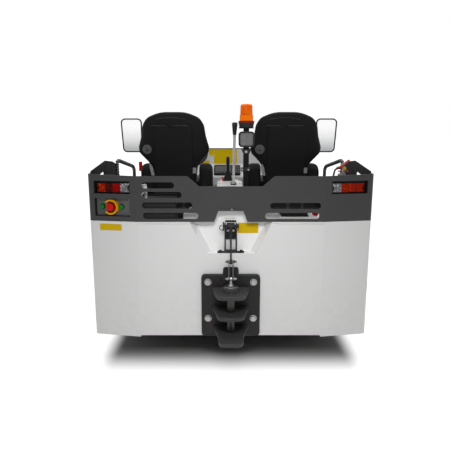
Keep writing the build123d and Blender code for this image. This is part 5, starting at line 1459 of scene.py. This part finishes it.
def bonnet_dressing():
    """Latch, pull and lock on the bonnet's top, which falls from (1920, 1264) to (2975, 1025) in (d, z)."""
    d, slope = 2840, (1025 - 1264) / (2975 - 1920)
    place = (0, d, 1264 + slope * (d - 1920))
    latch = brick((-62, 62), (-22, 22), (0.2, 5), 2, 8) + brick((-48, 48), (-10, 14), (4, 15), 3.5, 6)
    lock = lathe([(9, 5), (9, 9), (7, 10.4), (0.6, 10.8)], 28).moved(50)
    for name, shape, finish in (("bonnet_latch", latch, "black_plastic"), ("bonnet_lock", lock, "bolt_zinc")):
        piece(name, shape.turned("x", math.degrees(math.atan(slope))).moved(*place), finish, "bonnet")


def floor_mats():
    """Ribbed rubber mat on the foot floor and treads on both steps."""
    low, high = 1172.0, 1930.0
    mat = slab(1560, high - low, 30, 0, (low + high) / 2, 620.3, 623.6, 1.2)
    rib = brick((-752, 752), (-6, 6), (623.0, 626.2), 1.4)
    mat += rib.spread([(0, d) for d in np.arange(low + 30, high - 20, 26.0)])
    piece("floor_mat", mat, "rubber_black")
    step = slab(120, 540, 10, 775, 1550, 340.3, 343, 1)
    step += brick((716, 722), (1300, 1800), (342.6, 346.4), 1.2).spread([(24 * k,) for k in range(6)])
    piece("step_treads", step.both(), "rubber_black")


# Camera, light and floor

CAMERA_PLACE = (-0.035, REAR_Y - 2.835, 1.455)
CAMERA_TILT = 11.4
CAMERA_LENS = 38.48
LIGHT_BEHIND = 0.11
LIGHT_AHEAD = 0.88


def put(name, data, place, turn=(0, 0, 0)):
    """New object of some data at a place."""
    made = bpy.data.objects.new(name, data)
    made.location = place
    made.rotation_euler = turn
    bpy.context.collection.objects.link(made)
    return made


def camera():
    """Camera behind the tractor, at the photo's height and tilt."""
    data = bpy.data.cameras.new("camera")
    data.lens = CAMERA_LENS
    data.sensor_width = 36
    bpy.context.scene.camera = put("camera", data, CAMERA_PLACE, (math.radians(90 - CAMERA_TILT), 0, 0))


def area(name, place, aim, size, power, spread=180):
    """Rectangular lamp at a place that shines at a point, within a spread in degrees."""
    data = bpy.data.lights.new(name, "AREA")
    data.shape = "RECTANGLE"
    data.size, data.size_y = size
    data.energy = power
    data.spread = math.radians(spread)
    put(name, data, place, (Vector(aim) - Vector(place)).to_track_quat("-Z", "Y").to_euler())


def surroundings():
    """World that is seen white; the light that it sheds is dim from behind and bright from ahead."""
    g = Graph("world", "worlds")
    ahead = g.node("ShaderNodeSeparateXYZ", {0: g.node("ShaderNodeTexCoord", out="Generated")}, out=1)
    sky = ahead.smooth(-0.5, 0.5, LIGHT_BEHIND, LIGHT_AHEAD)
    seen = g.ray("Camera").math("MAXIMUM", g.ray("Glossy")).math("MAXIMUM", g.ray("Transmission"))
    strength = g.node("ShaderNodeMix", {0: seen, 2: sky, 3: 1.0})
    background = g.node("ShaderNodeBackground", {0: (1, 1, 1, 1), 1: strength})
    g.node("ShaderNodeOutputWorld", {0: background})
    bpy.context.scene.world = g.owner


def ground():
    """Floor, pale to the light; the camera sees it dark under the tractor, a painted shadow over the real
    one, and glowing white round it.

    The dark patch ends at the edges and gives way to white over the fade lengths, in metres.
    """
    reach = 60.0
    side_edge, side_fade = 0.72, 0.15
    rear_edge, rear_fade = -1.29, 0.37
    front_edge, front_fade = 1.55, 0.34
    data = bpy.data.meshes.new("floor")
    square = [(-reach, -reach, 0), (reach, -reach, 0), (reach, reach, 0), (-reach, reach, 0)]
    data.from_pydata(square, [], [(0, 1, 2, 3)])
    g = Graph("floor")
    seen = g.ray("Camera")
    side = (g.axis(0).math("ABSOLUTE") - side_edge).math("MAXIMUM", 0.0) / side_fade
    behind = (rear_edge - g.axis(1)).math("MAXIMUM", 0.0) / rear_fade
    ahead = (g.axis(1) - front_edge).math("MAXIMUM", 0.0) / front_fade
    along = behind + ahead
    around = (side * side + along * along).math("SQRT").smooth(0.0, 1.0)
    data.materials.append(g.finish(
        # painted shadow: the camera sees the floor at a dark 0.20, white only where it glows round the
        # tractor
        Base_Color=g.mix(seen, 0.92, 0.20),
        Roughness=0.9,
        Emission_Color=g.mix(seen.math("MAXIMUM", g.ray("Glossy")) * around, 0.0, 1.0),
        Emission_Strength=1.0,
    ))
    put("floor", data, (0, 0, 0))


camera()
surroundings()
area("top", place=(0, -0.8, 6.5), aim=(0, -0.4, 0), size=(4, 4), power=110.0)
area("rear", place=(0.0, -3.4, 2.2), aim=(0.0, -1.44, 0.45), size=(0.8, 0.6), power=6.2, spread=74)
ground()
bpy.context.scene.view_settings.view_transform = "Standard"
dress()
for build in (
    hitch, hitch_pin, release_gear, tail_lamps, control_box, labels, seats, work_lamp, beacon, mirrors, rails,
    extinguisher, deck_things, console, levers, dash, steering, pedal_pads, wheels, front_end, arch_liners,
    bonnet_dressing, floor_mats,
):
    build()
